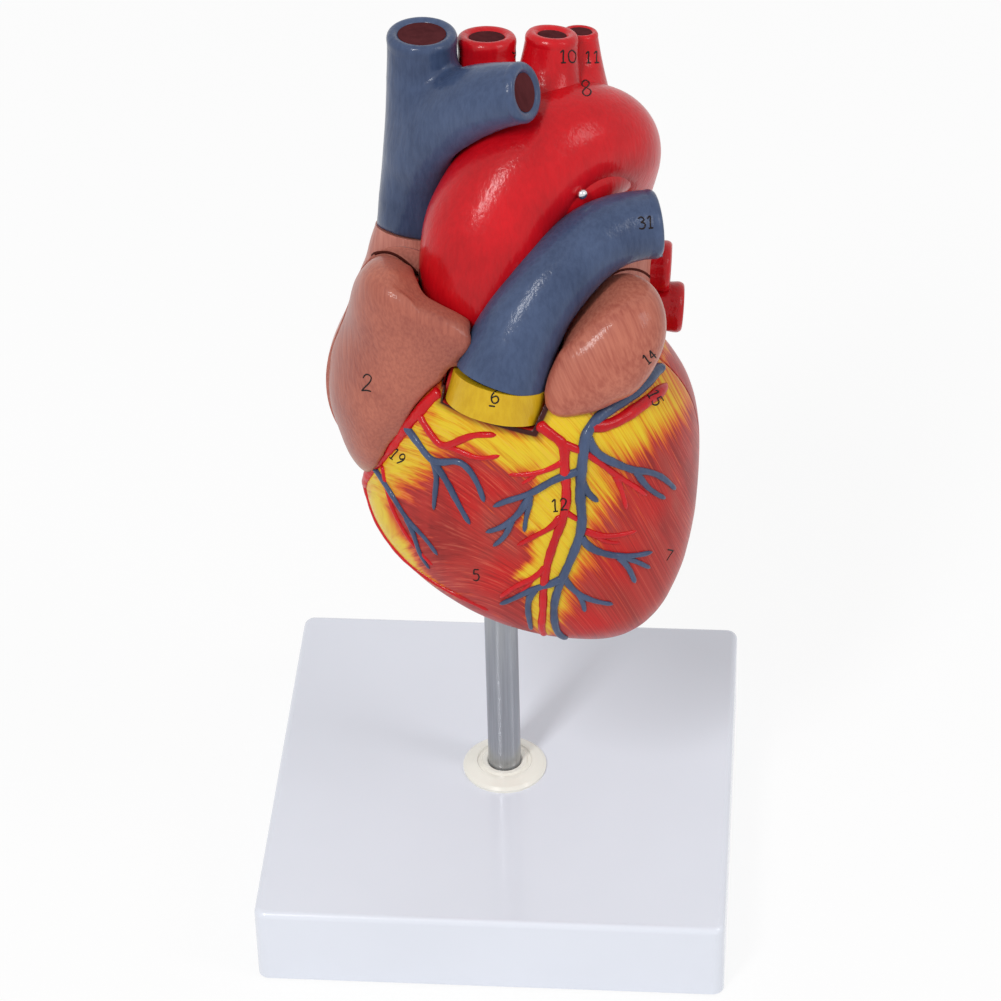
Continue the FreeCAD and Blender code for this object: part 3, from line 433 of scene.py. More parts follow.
# %% [markdown]
# ## Where the lesson looks from
# The model is seen from the front and well above, a little from the right, with a long lens so
# that upright lines stay nearly parallel. The viewer's own axes also serve to lay out
# brush strokes, outlines and numbers, in mm right of and above the view's middle.

# %% Viewpoint, with lengths in mm
AZIMUTH, ELEVATION, ROLL = math.radians(5.162), math.radians(37.837), math.radians(-1.53)
AIM, AIM_RIGHT, AIM_UP = np.array([0.0, 0.0, 120.0]), 0.71, -6.417
DISTANCE = 1001.4
FOCAL_IN_WIDTHS = 4000.16 / 1001.0
SENSOR = 36.0
across_floor = math.cos(ELEVATION)
back = np.array([math.sin(AZIMUTH) * across_floor, -math.cos(AZIMUTH) * across_floor, math.sin(ELEVATION)])
level = unit(np.cross(-back, (0.0, 0.0, 1.0)))
upward = np.cross(level, -back)
right = level * math.cos(ROLL) + upward * math.sin(ROLL)
up = -level * math.sin(ROLL) + upward * math.cos(ROLL)
eye = AIM + AIM_RIGHT * level + AIM_UP * upward + DISTANCE * back
camera = bpy.data.cameras.new("lesson_camera")
camera.sensor_width = SENSOR
camera.lens = SENSOR * FOCAL_IN_WIDTHS
camera.clip_start, camera.clip_end = 0.05, 20.0
camera.dof.use_dof = False
view = new_object("lesson_camera", camera)
view.matrix_world = Matrix([*np.stack([right, up, back, eye * MM], 1).tolist(), (0.0, 0.0, 0.0, 1.0)])
bpy.context.scene.camera = view
print("eye at", np.round(eye, 1), "mm, lens", round(camera.lens, 1))


def seen(points):
    """Where points appear: mm right of and above the view's middle at the aimed depth, and their depth."""
    away = points - eye
    depth = -(away @ back)
    return away @ right / depth * DISTANCE, away @ up / depth * DISTANCE, depth


# %% [markdown]
# ## The painted skin of the ventricles
# Over the cast wall lies its paint: red muscle in brushed strokes, with yellow fat along the
# grooves where the vessels run. The wall's own mesh has long thin triangles, too few points to
# carry colour, so the skin is a thin surface of its own: a grid in height and angle, swelling a
# little so that light plays over it. How fatty a point is comes from a few outlined zones with
# soft edges. It is kept per point, and brush strokes break up its edge in the material.

# %% Zones of paint: softness of the edge, and corners (x, z) seen from straight in front, in mm
FAT_FRONT = {
    "below_ring": (2.8, [
        (-9.6, 169), (-8.3, 166.3), (-3.7, 165.3), (2.7, 164.2), (8.9, 163), (13.2, 162.7), (15.4, 163.2),
        (19.8, 160.6), (19.4, 154.2), (15, 153.4), (11.3, 152.8), (7.5, 151.8), (4.4, 153.4), (2, 155),
        (-1.2, 156.7), (-3.7, 157.9), (-6.3, 156), (-8.9, 155.8), (-10.9, 156.4), (-12.2, 159.8),
        (-12.2, 165.2)]),
    "groove": (1.5, [
        (18.8, 160.5), (15, 156.2), (12.2, 152.4), (13.1, 148.2), (11.6, 145.1), (11, 140.8), (8.6, 136),
        (10.3, 133.4), (12.9, 134.6), (10.9, 129), (12.1, 126.2), (8.2, 121.9), (7, 119.2), (11.4, 119.5),
        (11.3, 116), (9.4, 113.2), (10.2, 109.5), (10, 105.5), (11.6, 101.4), (14.2, 97.5), (16.6, 97.5),
        (15.8, 106.4), (16.9, 112), (18, 116.4), (19.3, 119.7), (20.3, 123.7), (21.7, 128.4), (23, 131.5),
        (24.2, 137.7), (24.5, 143.9), (25, 150), (24.7, 157.5), (22.5, 160.9)]),
    "beside_groove": (5.5, [
        (22.6, 157.3), (26.1, 156), (28.5, 150.5), (30.3, 146.9), (30.9, 142.9), (29, 139.6), (27.8, 136),
        (25.4, 133.6), (22.1, 134.2), (22.8, 142.3)]),
    "lower_groove": (4.6, [
        (20.8, 131.7), (24.4, 127.2), (24.1, 123.2), (22.1, 120.2), (18.3, 118.4), (18.9, 124.9)]),
    "foot": (3.6, [(17, 116.4), (20, 114.4), (19.9, 110), (18.2, 105.3), (16.2, 108)]),
    "shoulder": (5.2, [
        (22.8, 163.6), (27.8, 163.8), (32, 163.9), (36.1, 164.1), (40.8, 163.8), (44, 161.3), (46.2, 158.2),
        (48, 154.8), (48.3, 152.2), (45.2, 153.2), (41.1, 153.5), (36.9, 152.3), (33.9, 152), (30.3, 154),
        (26.4, 156.2), (23.1, 159.6)]),
    "corner": (4.2, [
        (-13.2, 162.8), (-12.9, 157.1), (-11.7, 153.8), (-11.2, 151.8), (-13.8, 146.9), (-15.8, 143.8),
        (-18.6, 140.2), (-21.1, 136.6), (-24.6, 133.9), (-28, 134.9), (-29.6, 137.4), (-26.2, 143.9),
        (-23.2, 149.1), (-20.7, 153.6), (-18, 158.4)]),
    "margin": (2.4, [
        (-30.8, 137.6), (-31.6, 130.6), (-32.4, 124.2), (-31.5, 119.7), (-28.5, 115.6), (-25.4, 112.9),
        (-20.5, 110.9), (-14.6, 109.2), (-8.2, 108.6), (-13.4, 112.6), (-17.4, 116.7), (-19.7, 121.6),
        (-21.7, 126.6), (-23.6, 130.3), (-25.7, 133.9), (-27.6, 137)]),
    "under_auricle": (1.2, [
        (13.8, 168.4), (18.7, 167.7), (23.5, 166.6), (26.8, 164.6), (24, 160.6), (18.7, 160.8),
        (14, 162.5)]),
}
# patches where the muscle is a brighter red
BRIGHT_FRONT = {
    "right_upper": (4, [
        (34.8, 142.4), (36.4, 145.1), (39.9, 144.4), (42.7, 139.1), (43.7, 134.2), (41.8, 130.9), (39, 132),
        (36.2, 137.3)]),
    "right_lower": (4, [
        (24.9, 133.9), (32.9, 129.8), (37.1, 126.3), (37.1, 118.2), (34.3, 114.3), (30, 117.2),
        (27.7, 123.5)]),
    "left": (4, [
        (-8.7, 145.9), (-5.7, 147.5), (-2, 144.3), (-0.4, 139.9), (-2.5, 135.4), (-5.9, 136.7),
        (-8.3, 140.4)]),
    "middle": (3, [(-2.7, 151.6), (4.1, 150.4), (7.7, 146.8), (4, 142.9), (0.6, 143.5)]),
    "tip": (4, [(20.3, 107.6), (25.1, 108.3), (29, 106), (32.3, 101.8), (27.4, 98.2), (22, 99.3)]),
    "low_left": (4, [(4, 128), (9, 124), (8, 117), (2, 112), (-3, 116)]),
}
FAT_REAR = {
    "rear_groove": (2.2, [
        (42, 162), (30, 159.5), (18, 158), (5, 157.5), (-13, 157), (-16, 149), (-6, 146), (0, 147),
        (11, 148.5), (24, 149), (40, 151)]),
    "rear_strip": (1.8, [
        (-1, 148), (5, 138), (9, 128), (14, 116), (19, 104), (24, 101), (26, 105), (22, 116), (17, 128),
        (14, 137), (11, 149)]),
}


def inside_by(x, z, corners):
    """Distance in mm to the outline through corners, positive within it (even-odd rule)."""
    a = np.asarray(corners, float)
    b = np.roll(a, -1, axis=0)
    nearest, within = np.full(x.shape, np.inf), np.zeros(x.shape, bool)
    for (ax, az), (bx, bz) in zip(a, b):
        dx, dz = bx - ax, bz - az
        t = np.clip(((x - ax) * dx + (z - az) * dz) / (dx ** 2 + dz ** 2), 0.0, 1.0)
        nearest = np.minimum(nearest, np.hypot(x - ax - t * dx, z - az - t * dz))
        within ^= ((az > z) != (bz > z)) & (x < ax + (z - az) * dx / (dz + 1e-12))
    return np.where(within, nearest, -nearest)


def zone_share(x, z, zones):
    """1 - product over the zones of (1 - f), with f = 0.5 + 0.5 tanh(inside distance / softness)."""
    miss = np.ones(x.shape)
    for soft, corners in zones.values():
        miss *= 0.5 - 0.5 * np.tanh(inside_by(x, z, corners) / soft)
    return 1.0 - miss


print("zones", len(FAT_FRONT), len(BRIGHT_FRONT), len(FAT_REAR))

# %% [markdown]
# The front skin stops at the notch that lets the front wall pass the ring, and the rear skin
# leaves a round hole for the rod's boss. The strokes need a direction: the first UV coordinate
# runs across the fibres and the second along them, so the fibres lie level on the left, slope
# down to the right, and turn near the tip.

# %% The skin's edges, in mm, and what is kept per point
FRONT_EDGE_Y, REAR_EDGE_Y = -8.21, -7.79
SKIN_LOW, SKIN_HIGH = 88.02, 174.0
RING_LOW, RING_AXIS = np.array((2.8, -30.3, 163.9)), unit(np.array((1.5, 2.1, 7.2)))
NOTCH_RADIUS, NOTCH_FOOT, NOTCH_BACK_Y, NOTCH_LEFT, NOTCH_RIGHT = 12.72, -1.12, -29.0, -9.7, 15.7
BOSS_TOP, BOSS_DROP, BOSS_EDGE = 110.0, 6.3, 6.75
# the third layer is painted shade: how dark the skin is painted under the ring at the notch
LAYERS = ("fat", "glow", "notch_shade")


def skin_points(side, rows=240, columns=204):
    """Grid over one half of the form: rows by chord length, columns by angle about its axis.

    The rear half starts where the sections, which lie well forward at the tip, first reach its edge.
    """
    low, edge_y = SKIN_LOW, FRONT_EDGE_Y
    if side > 0:
        low, edge_y = STACK[np.argmax(STACK[:, 2] + STACK[:, 4] > REAR_EDGE_Y + 0.1), 0], REAR_EDGE_Y
    z_rows = np.interp(np.linspace(0, 1, rows), np.linspace(0, 1, len(STACK)), STACK[:, 0])
    z_rows = low + (z_rows - z_rows[0]) * (SKIN_HIGH - low) / (z_rows[-1] - z_rows[0])
    cx, cy, ax, ay = stack_at(z_rows)
    q = np.clip(side * (edge_y - cy) / np.maximum(ay, NARROW), -0.98, 0.98)
    start = np.arcsin(np.sign(q) * np.abs(q) ** (SQUARE / 2))
    f = np.linspace(0.0, 1.0, columns)[None, :]
    angle = start[:, None] * (1 - f) + (np.pi - start[:, None]) * f
    c, s = np.cos(angle), np.sin(angle)
    x = cx[:, None] + ax[:, None] * np.sign(c) * np.abs(c) ** (2 / SQUARE)
    y = cy[:, None] + side * ay[:, None] * np.sign(s) * np.abs(s) ** (2 / SQUARE)
    return np.stack([x, y, np.broadcast_to(z_rows[:, None], x.shape)], -1)


def grid_normals(p, side):
    """Unit normals of a grid from its own differences, turned outward."""
    n = unit(np.cross(np.gradient(p, axis=1), np.gradient(p, axis=0)), 1e-12)
    flip = np.sign(n[len(n) // 2, n.shape[1] // 2, 1]) * side
    return n * flip


def swollen(p, n, along, fat):
    """The coat of paint: 0.11 mm, 0.16 of soft lumps in waves across and up the form, 0.10 more on fat."""
    high = p[..., 2]
    lumps = 0.5 + 0.2 * np.sin(0.33 * along + 0.23 * high) + 0.18 * np.sin(0.21 * high - 0.27 * along + 1.0)
    lumps += 0.12 * np.sin(0.61 * along + 2.0) * np.sin(0.57 * high)
    return p + n * (0.11 + 0.16 * lumps + 0.10 * fat)[..., None]


def softplus(t):
    """log(1 + exp(t)): 0 well below zero, then t, with a soft bend between."""
    return np.log1p(np.exp(np.clip(t, -40.0, 40.0)))


def front_strokes(p):
    """How far each point is across the fibres: its height as seen, plus a lean that grows to the right.

    lean = 0.28 u + 4.5 s((u + 8) / 6) + 4.5 s((u - 28) / 5), s being softplus, and below v = -6 the
    fibres on the left bend by 3.6 s((6 - u) / 6) to turn about the tip.
    """
    u, v, _ = seen(p)
    lean = 0.28 * u + 4.5 * softplus((u + 8.0) / 6.0) + 4.5 * softplus((u - 28.0) / 5.0)
    return v + lean + 3.6 / (1.0 + np.exp((v + 6.0) / 5.0)) * softplus((6.0 - u) / 6.0)


def into_notch(p):
    """How many mm points are within the notch: above its foot, and round the ring or straight behind it."""
    away = p - RING_LOW
    above = away @ RING_AXIS
    around = NOTCH_RADIUS - np.sqrt(np.maximum((away ** 2).sum(-1) - above ** 2, 0.0))
    between = np.minimum(p[..., 0] - NOTCH_LEFT, NOTCH_RIGHT - p[..., 0])
    return np.minimum(above - NOTCH_FOOT, np.maximum(around, np.minimum(p[..., 1] - NOTCH_BACK_Y, between)))


def notched(p, within):
    """Moves the first point of each column within the notch down to its edge, and drops those above.

    Returned are the points' numbers, with that of the edge for each point above it.
    """
    rows, columns = within.shape
    blocked = within > 0
    first = np.where(blocked.any(0), blocked.argmax(0), rows - 1)
    j = np.arange(columns)
    before, after = within[np.maximum(first - 1, 0), j], within[first, j]
    fall = np.where(np.abs(before - after) < 1e-9, 1.0, before - after)
    f = np.where(blocked.any(0), before / fall, 1.0).clip(0.0, 1.0)[:, None]
    p[first, j] = p[first - 1, j] * (1 - f) + p[first, j] * f
    return np.minimum(np.arange(rows * columns).reshape(rows, columns), first * columns + j)


def holed(p, faces):
    """Leaves out the faces under the boss, and moves the rim's points out to its edge."""
    radius = np.hypot(p[..., 0], p[..., 1])
    low = p[..., 2] < BOSS_TOP
    inside = (low & (radius < BOSS_DROP)).ravel()
    push = np.where(low & (radius < BOSS_EDGE), BOSS_EDGE / np.maximum(radius, NARROW), 1.0)
    p[..., :2] *= push[..., None]
    return faces[~inside[faces].all(1)]


def ventricle_skin(name, side, body, zones):
    """One half of the skin, with its fat, glow (brighter red) and painted shade under the ring, per point.
    """
    p = skin_points(side)
    rows, columns = p.shape[:2]
    n = grid_normals(p, side)
    steps = np.linalg.norm(np.diff(p, axis=1), axis=2)
    along = np.concatenate([np.zeros((rows, 1)), np.cumsum(steps, axis=1)], 1)
    along = along[:, columns // 2][:, None] - along
    high = p[..., 2]
    fat = zone_share(p[..., 0], high, zones)
    glow, notch_shade = np.zeros(fat.shape), np.zeros(fat.shape)
    p = swollen(p, n, along, fat)
    faces = grid_faces(rows, columns)
    if side < 0:
        across = front_strokes(p)
        glow = zone_share(p[..., 0], high, BRIGHT_FRONT)
        within = into_notch(p)
        # painted shade under the ring: darkest in a thin band along the notch's edge, fading out below it
        wider = 0.3 + 0.04 * (p[..., 0] + 9.0).clip(0.0, 20.0)
        notch_shade = np.clip(0.5 + (within + wider) / 4.0, 0.0, 1.0)
        faces = notched(p, within).ravel()[faces]
    else:
        across = high + 0.5 * along
        faces = holed(p, faces[:, ::-1])
    corner = p.reshape(-1, 3)[faces]
    facing = np.cross(corner[:, 2] - corner[:, 0], corner[:, 3] - corner[:, 1])
    inward = (facing * n.reshape(-1, 3)[faces[:, 0]]).sum() < 0
    faces = faces[:, ::-1] if inward else faces
    used, renumbered = np.unique(faces, return_inverse=True)
    values = {key: data.ravel()[used] for key, data in zip(LAYERS, (fat, glow, notch_shade))}
    uv = np.stack([across, along], -1).reshape(-1, 2)[used]
    print(name, len(used), "points, fat part", round(float(fat.mean()), 2))
    points = p.reshape(-1, 3)[used]
    return mesh_object(name, points, renumbered.reshape(-1, 4), muscle_skin_paint, body, values, uv)


# %% [markdown]
# The paint itself: noise stretched along the fibres shifts the amount of fat, so the border of a
# yellow dab breaks into strokes, first orange and then red. A second, finer hatch darkens lines
# of the muscle, and dark red-brown paint stands in for the shade under the ring at the notch.
# A clear coat gives the wet look.

# %% Muscle paint
def muscle_paint(name):
    """Muscle, brighter red, fat, dark and pale hairs, and painted shade under the ring, one over another.
    """
    mat, tree, shader = new_material(name)
    brush = add(tree, "UVMap", uv_map="brush").outputs["UV"]
    fat, glow, notch_shade = (add(tree, "Attribute", attribute_name=key).outputs["Fac"] for key in LAYERS)
    strokes = noise(tree, stretched(tree, brush, (0.62, 0.075, 1.0)), 1.0, 3.0, 0.7)
    hatch = noise(tree, stretched(tree, brush, (1.9, 0.08, 1.0)), 1.0, 3.0, 0.75)
    clouds = noise(tree, brush, 0.07, 3.0)
    shift = maths(tree, "MULTIPLY", maths(tree, "SUBTRACT", strokes, 0.5), 1.5)
    fine = maths(tree, "MULTIPLY", maths(tree, "SUBTRACT", hatch, 0.5), 0.7)
    amount = maths(tree, "ADD", maths(tree, "ADD", fat, shift), fine)
    muscle = srgb_ramp(tree, clouds, (0.36, 160, 38, 34), (0.50, 182, 46, 40), (0.64, 170, 62, 54))
    fatty = srgb_ramp(tree, amount, (0.24, 200, 48, 22), (0.50, 218, 104, 18), (0.74, 224, 168, 20),
                      (0.95, 228, 196, 38))
    shade = ramp(tree, hatch, [(0.34, (0.62, 0.52, 0.50)), (0.48, (0.94, 0.92, 0.92)), (0.60, (1.0,) * 3)])
    red = maths(tree, "ADD", glow, fine)
    paint = laid(tree, muscle, srgb(198, 18, 18), red, (0.15, 0.0), (0.85, 0.9))
    paint = laid(tree, paint, fatty, amount, (0.16, 0.0), (0.42, 1.0))
    paint = laid(tree, paint, shade, amount, (0.30, 0.85), (0.80, 0.30), blend="MULTIPLY")
    paint = laid(tree, paint, srgb(222, 124, 96), hatch, (0.54, 0.0), (0.72, 0.42))
    # painted shade under the ring at the notch, in dark red-brown
    paint = laid(tree, paint, srgb(56, 10, 8), notch_shade, (0.10, 0.0), (0.44, 0.5), (0.52, 1.0))
    set_inputs(tree, shader, {
        "Base Color": paint, "Normal": bumped(tree, hatch, 0.35, 0.00016), "Roughness": 0.42,
        "Specular IOR Level": 0.12, "Coat Weight": 0.25, "Coat Roughness": 0.14})
    return mat


HALVES = [("front_skin", -1.0, "front_wall", FAT_FRONT), ("rear_skin", 1.0, "heart", FAT_REAR)]
muscle_skin_paint = muscle_paint("muscle_skin_paint")
for name, side, body, zones in HALVES:
    skin = ventricle_skin(name, side, body, zones)
    thick = skin.modifiers.new("thickness", "SOLIDIFY")
    thick.thickness = 0.5 * MM
    thick.offset = -1.0

# %% [markdown]
# ## Vessels in relief
# The coronary vessels are raised lines of filler, brushed red or blue, with a flat foot and a
# rounded back, and they taper to nothing at their ends. A bevelled curve is the quick way to make
# them, but its section is round and it leaves the form between its points. Here each is a tube
# carried along a smooth line on the face, buried below and half-flattened above. The veins are
# laid on last, a little higher, so they cross over the arteries.

# %% A ridge along a line on the form
def ridge(r0, r1, route, side, over, flat=0.85, sides=14, blunt=0.3):
    """A tapering tube on the face along (x, z) points.

    Ring k is centred on face(x, z) raised by over, and its points are
    r * (cos w * across + h * sin w * normal) with h = flat above and 1.2 below.
    r falls from r0 to r1 with slight waves, and the last 1.6 r0 is rounded off as a quarter ellipse.
    """
    route = np.asarray(route, float)
    length = np.linalg.norm(np.diff(route, axis=0), axis=1).sum()
    count = max(14, int(length / 0.5))
    line = through(route, count)
    f = np.linspace(0.0, 1.0, count)
    waves = 1.0 + 0.06 * np.sin(f * length * 0.8 + route[0, 0]) + 0.03 * np.sin(f * length * 2.1)
    to_end = np.clip((1.0 - f) * length / (1.6 * r0), 0.02, 1.0)
    from_start = np.clip(f * length / (blunt * r0), 0.45, 1.0)
    r = (r0 + (r1 - r0) * f) * waves * np.sqrt(1.0 - (1.0 - to_end) ** 2) * from_start ** 0.5
    centre, normal = face(line[:, 0], line[:, 1], side, over)
    way = unit(np.gradient(centre, axis=0))
    normal = unit(normal - way * (normal * way).sum(1, keepdims=True))
    across = np.cross(way, normal)
    w = np.linspace(0.0, 2 * np.pi, sides, endpoint=False)
    h = np.where(np.sin(w) > 0, flat, 1.2) * np.sin(w)
    ring = np.cos(w)[None, :, None] * across[:, None] + h[None, :, None] * normal[:, None]
    points = (centre[:, None] + r[:, None, None] * ring).reshape(-1, 3)
    first, last = len(points), len(points) + 1
    j = np.arange(sides)
    n = (j + 1) % sides
    top = (count - 1) * sides
    start = np.stack([np.full(sides, first), n, j, j], 1)
    end = np.stack([np.full(sides, last), top + j, top + n, top + n], 1)
    points = np.concatenate([points, centre[:1] - way[:1] * r[0] * 0.3, centre[-1:] + way[-1:] * r[-1]])
    return points, np.concatenate([grid_faces(count, sides, True), start, end])


def ridges(name, node, slot, routes, over=0.15, body="front_wall", side=-1.0):
    """All lines of one vessel as one piece, in place of the solid that stands for it."""
    points, faces = joined([ridge(*route, side, over) for route in routes])
    thing = mesh_object(name, points, faces, SLOT_FINISH[slot], body)
    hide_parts(node)
    print(name, len(routes), "lines")


# %% Arteries of the front, red: radius at the start and at the end, and the line of (x, z) points
ridges("right_coronary_relief", "right_coronary_artery", "artery", [
    (1.5, 1.4, [
        (-10.3, 167.3), (-12.2, 165.3), (-14.5, 162.3), (-17.9, 157), (-21.5, 150), (-24.9, 143.6),
        (-28.1, 137.4), (-30.1, 132.2), (-31.1, 126.9)]),
    (1.2, 0.75, [(-15.4, 160.6), (-11.9, 157.2), (-9.9, 155.9), (-6.4, 157.7), (-1.4, 161), (3.7, 161.9)]),
    (1, 0.6, [(-9.9, 155.9), (-5.7, 155.8), (-1.1, 155), (4.5, 156.6)])])
ridges("marginal_relief", "marginal_artery", "artery", [
    (1.05, 0.6, [
        (-31.2, 128.2), (-30.2, 122.6), (-26.8, 118.2), (-20.2, 114.1), (-13, 111), (-5, 108.4),
        (0.5, 106.1)]),
    (0.75, 0.5, [(-25.4, 140.6), (-24, 134), (-21.6, 128.6), (-17.6, 123), (-13, 118.4)])])
ridges("descending_relief", "anterior_descending_artery", "artery", [
    (1.35, 0.95, [
        (13.6, 164.6), (16.5, 162.3), (19.2, 159.7), (19.7, 155.4), (20, 146.9), (19.3, 138.6),
        (17.5, 132.6), (15.2, 123.6), (14.1, 114.5), (13.8, 107.3), (13.4, 101.6), (13.9, 97)]),
    (1.1, 0.6, [(19, 159.9), (22.9, 157.6), (26.2, 154.8), (31.5, 148.2), (35.6, 143.4), (38.8, 139)]),
    (0.85, 0.5, [(31.3, 148.4), (32.2, 145.6), (33.4, 141), (34.1, 137)]),
    (0.95, 0.6, [(19.6, 155), (16.6, 153.2), (12.3, 151.6), (6.3, 150.9)]),
    (1.05, 0.55, [(18.6, 138.6), (16.6, 135.8), (13.3, 133.4), (8.1, 129.7)]),
    (0.6, 0.4, [(13, 151.6), (11.4, 149.8), (9.4, 148.2)]),
    (1, 0.55, [(15, 123.4), (11.8, 119.8), (7.8, 116.9), (3.5, 112.2)]),
    (0.6, 0.4, [(12.2, 120.2), (10.6, 117.4), (8.4, 114.2)]),
    (0.9, 0.7, [(19.5, 139.8), (21.4, 138.2), (23.4, 136.4)]),
    (1.05, 0.5, [(24.2, 133.6), (27.4, 131.4), (31.5, 130.2), (36.6, 129.6)]),
    (0.7, 0.4, [(26.6, 131.6), (28.8, 129.4), (32.6, 127.4)])])
ridges("left_branch_relief", "left_ventricular_branch", "artery", [
    (1.5, 1.6, [
        (25.2, 162.8), (27.6, 161.9), (30.4, 161.5), (33.4, 161.6), (36.7, 161.6), (40, 161.1),
        (42.8, 160)])])

# %% Veins of the front, blue
ridges("anterior_veins_relief", "anterior_cardiac_veins", "vein", [
    (1.15, 0.65, [
        (-19.4, 156), (-17.9, 155.2), (-15.1, 153.1), (-11.8, 150.6), (-8.8, 151.4), (-5.3, 152.5),
        (-1.7, 148.5), (0.4, 142.1)]),
    (0.95, 0.5, [(-11.9, 150.9), (-11.2, 147.1), (-11.6, 141.6), (-12.1, 136.5)]),
    (1.05, 0.6, [(-11.7, 150.4), (-9, 146.4), (-6.2, 140.8), (-3.2, 134.9)])], over=0.4)
ridges("small_vein_relief", "small_cardiac_vein", "vein", [
    (0.9, 0.5, [
        (-28.9, 137.9), (-26.8, 137.6), (-23.6, 135.8), (-19.2, 130.9), (-14.7, 127.1), (-11.6, 122.9)]),
    (0.85, 0.45, [(-19.4, 131.1), (-17.9, 128), (-16.2, 121.6), (-13.9, 116.7)])], over=0.35)
ridges("great_vein_relief", "great_cardiac_vein", "vein", [
    (1.55, 0.9, [
        (41.6, 161.8), (40.6, 162.8), (38.3, 163.8), (35.6, 164.2), (33, 164.3), (28.9, 164.1),
        (26.4, 162.9), (24.9, 161.3), (24.2, 158.2), (23.6, 152.3), (23.3, 142.3), (23.5, 135.7),
        (22.3, 129.8), (18.9, 119.9), (16.9, 112.3), (16.7, 103.8), (17.6, 99.2), (19.4, 95.8)]),
    (1.2, 0.65, [
        (25, 160.4), (26, 157.8), (32.2, 150.9), (35.9, 147.8), (38.6, 146), (41.3, 143.3), (45.3, 136)]),
    (0.95, 0.55, [(35.9, 147.8), (38.8, 141.6), (43, 135.4)]),
    (1.15, 0.65, [(23.6, 151.7), (20.6, 151), (16.7, 149.3), (11.7, 145.8), (5.4, 142.8), (2.5, 141)]),
    (0.85, 0.5, [(11.4, 145.8), (11.3, 143.1), (10.4, 138.3), (9.9, 134.1)]),
    (1.05, 0.6, [(11.6, 145.2), (8.8, 139.9), (4.8, 135.5), (0.6, 133.2)]),
    (0.95, 0.5, [(6.9, 137.8), (5.3, 132.9), (2.3, 129.2)]),
    (1, 0.8, [(23.6, 149.6), (24.6, 145.6), (27.4, 141.6)]),
    (1.1, 0.6, [(23.2, 132), (25, 128.9), (28.2, 126), (32.7, 123.6), (40, 121.3)]),
    (0.85, 0.5, [(32.7, 123.6), (36.2, 120.4), (39.5, 116.5)]),
    (0.95, 0.6, [(32, 124), (34.2, 119.6), (36, 113.6)]),
    (1.1, 0.55, [(18.8, 119.5), (15.4, 117.7), (11.7, 116.1), (7.4, 113), (3.4, 109.9)]),
    (1, 0.6, [(12.4, 116.5), (11.1, 114), (10.5, 105.1), (10.8, 100.6)]),
    (0.95, 0.55, [(18.9, 120.2), (20.6, 116.8), (22.8, 113.8), (26.6, 110.8), (30.7, 108.6)]),
    (0.85, 0.5, [(22.3, 114.6), (23.4, 111.4), (24, 107.6)])], over=0.4)

# %% Vessels of the back
REAR = {"body": "heart", "side": 1.0}
ridges("sinus_relief", "coronary_sinus", "vein", [
    (1.9, 3, [(37, 159), (28, 155.2), (18, 154.2), (6, 154.3), (-7.4, 154.6)])], over=0.2, **REAR)
ridges("middle_vein_relief", "middle_cardiac_vein", "vein", [
    (1.35, 0.8, [(5.5, 153.5), (9.5, 143.5), (13.5, 132.5), (18.5, 119.5), (23, 109), (25.4, 102)]),
    (0.95, 0.5, [(13.5, 132.5), (18, 133.6), (24, 132.6), (30, 129)])], over=0.3, **REAR)
ridges("posterior_relief", "posterior_descending_artery", "artery", [
    (1.2, 0.7, [(0.5, 152), (5.2, 142.6), (9.2, 131.6), (14.2, 118.6), (18.7, 107.6), (20.6, 101.4)]),
    (0.85, 0.5, [(5.2, 142.6), (1.4, 138.6), (-2, 136), (-6.6, 131)]),
    (0.8, 0.45, [(9.6, 130.6), (5, 125), (0.6, 121.4)])], **REAR)

# %% [markdown]
# ## Soft copies
# Paint and sanding round every edge of the casting. A bevel would round them too, but it fails
# where many small faces meet. Instead, a merged copy of a solid is rebuilt from small even cells,
# and each point is drawn towards the mean of its neighbours a number of times, which rounds the
# edges over about half a cell times the root of that number. Small nudges, given as seen by the
# viewer, then bring an outline where it should be without changing any depth.

# %% Rounding and nudging
def relaxed(points, edges, passes, weight):
    """Each pass moves p by 0.5 * weight * (mean of neighbours - p)."""
    a, b = edges.T
    count = np.bincount(edges.ravel(), minlength=len(points))[:, None]
    for _ in range(passes):
        total = np.stack([np.bincount(a, q[b], len(q)) + np.bincount(b, q[a], len(q)) for q in points.T], 1)
        points = points + 0.5 * weight * (total / count - points)
    return points


def nudged(points, moved, held, reach=5.5):
    """Shift across the view: places (x, y) go to (x', y') and the held stay, with Gaussian weights."""
    pairs = np.array(moved + [(x, y, x, y) for x, y in held])
    u, v, depth = seen(points)
    near = np.exp(-((u[:, None] - pairs[:, 0]) ** 2 + (v[:, None] - pairs[:, 1]) ** 2) / reach ** 2)
    near /= near.sum(1, keepdims=True) + 0.05
    du, dv = near @ (pairs[:, 2] - pairs[:, 0]), near @ (pairs[:, 3] - pairs[:, 1])
    return points + (depth / DISTANCE)[:, None] * (du[:, None] * right + dv[:, None] * up)


def recast(name, node, cell):
    """A merged copy of a solid, rebuilt from even cells of a size in mm."""
    work = bmesh.new()
    work.from_mesh(frame["nodes"][node].data)
    bmesh.ops.remove_doubles(work, verts=work.verts, dist=1e-6)
    mesh = bpy.data.meshes.new(name)
    work.to_mesh(mesh)
    work.free()
    thing = new_object(name, mesh)
    cells = thing.modifiers.new("cells", "REMESH")
    cells.mode = "VOXEL"
    cells.voxel_size = cell * MM
    bpy.context.view_layer.update()
    done = bpy.data.meshes.new_from_object(thing.evaluated_get(bpy.context.evaluated_depsgraph_get()))
    thing.modifiers.clear()
    thing.data = done
    return thing


def move_points(mesh, points):
    """Sets a mesh's points, in mm."""
    mesh.vertices.foreach_set("co", (points * MM).ravel())
    mesh.update()


CELL = 0.45  # mm
print("100 passes round an edge over", round(0.5 * CELL * math.sqrt(100), 1), "mm")

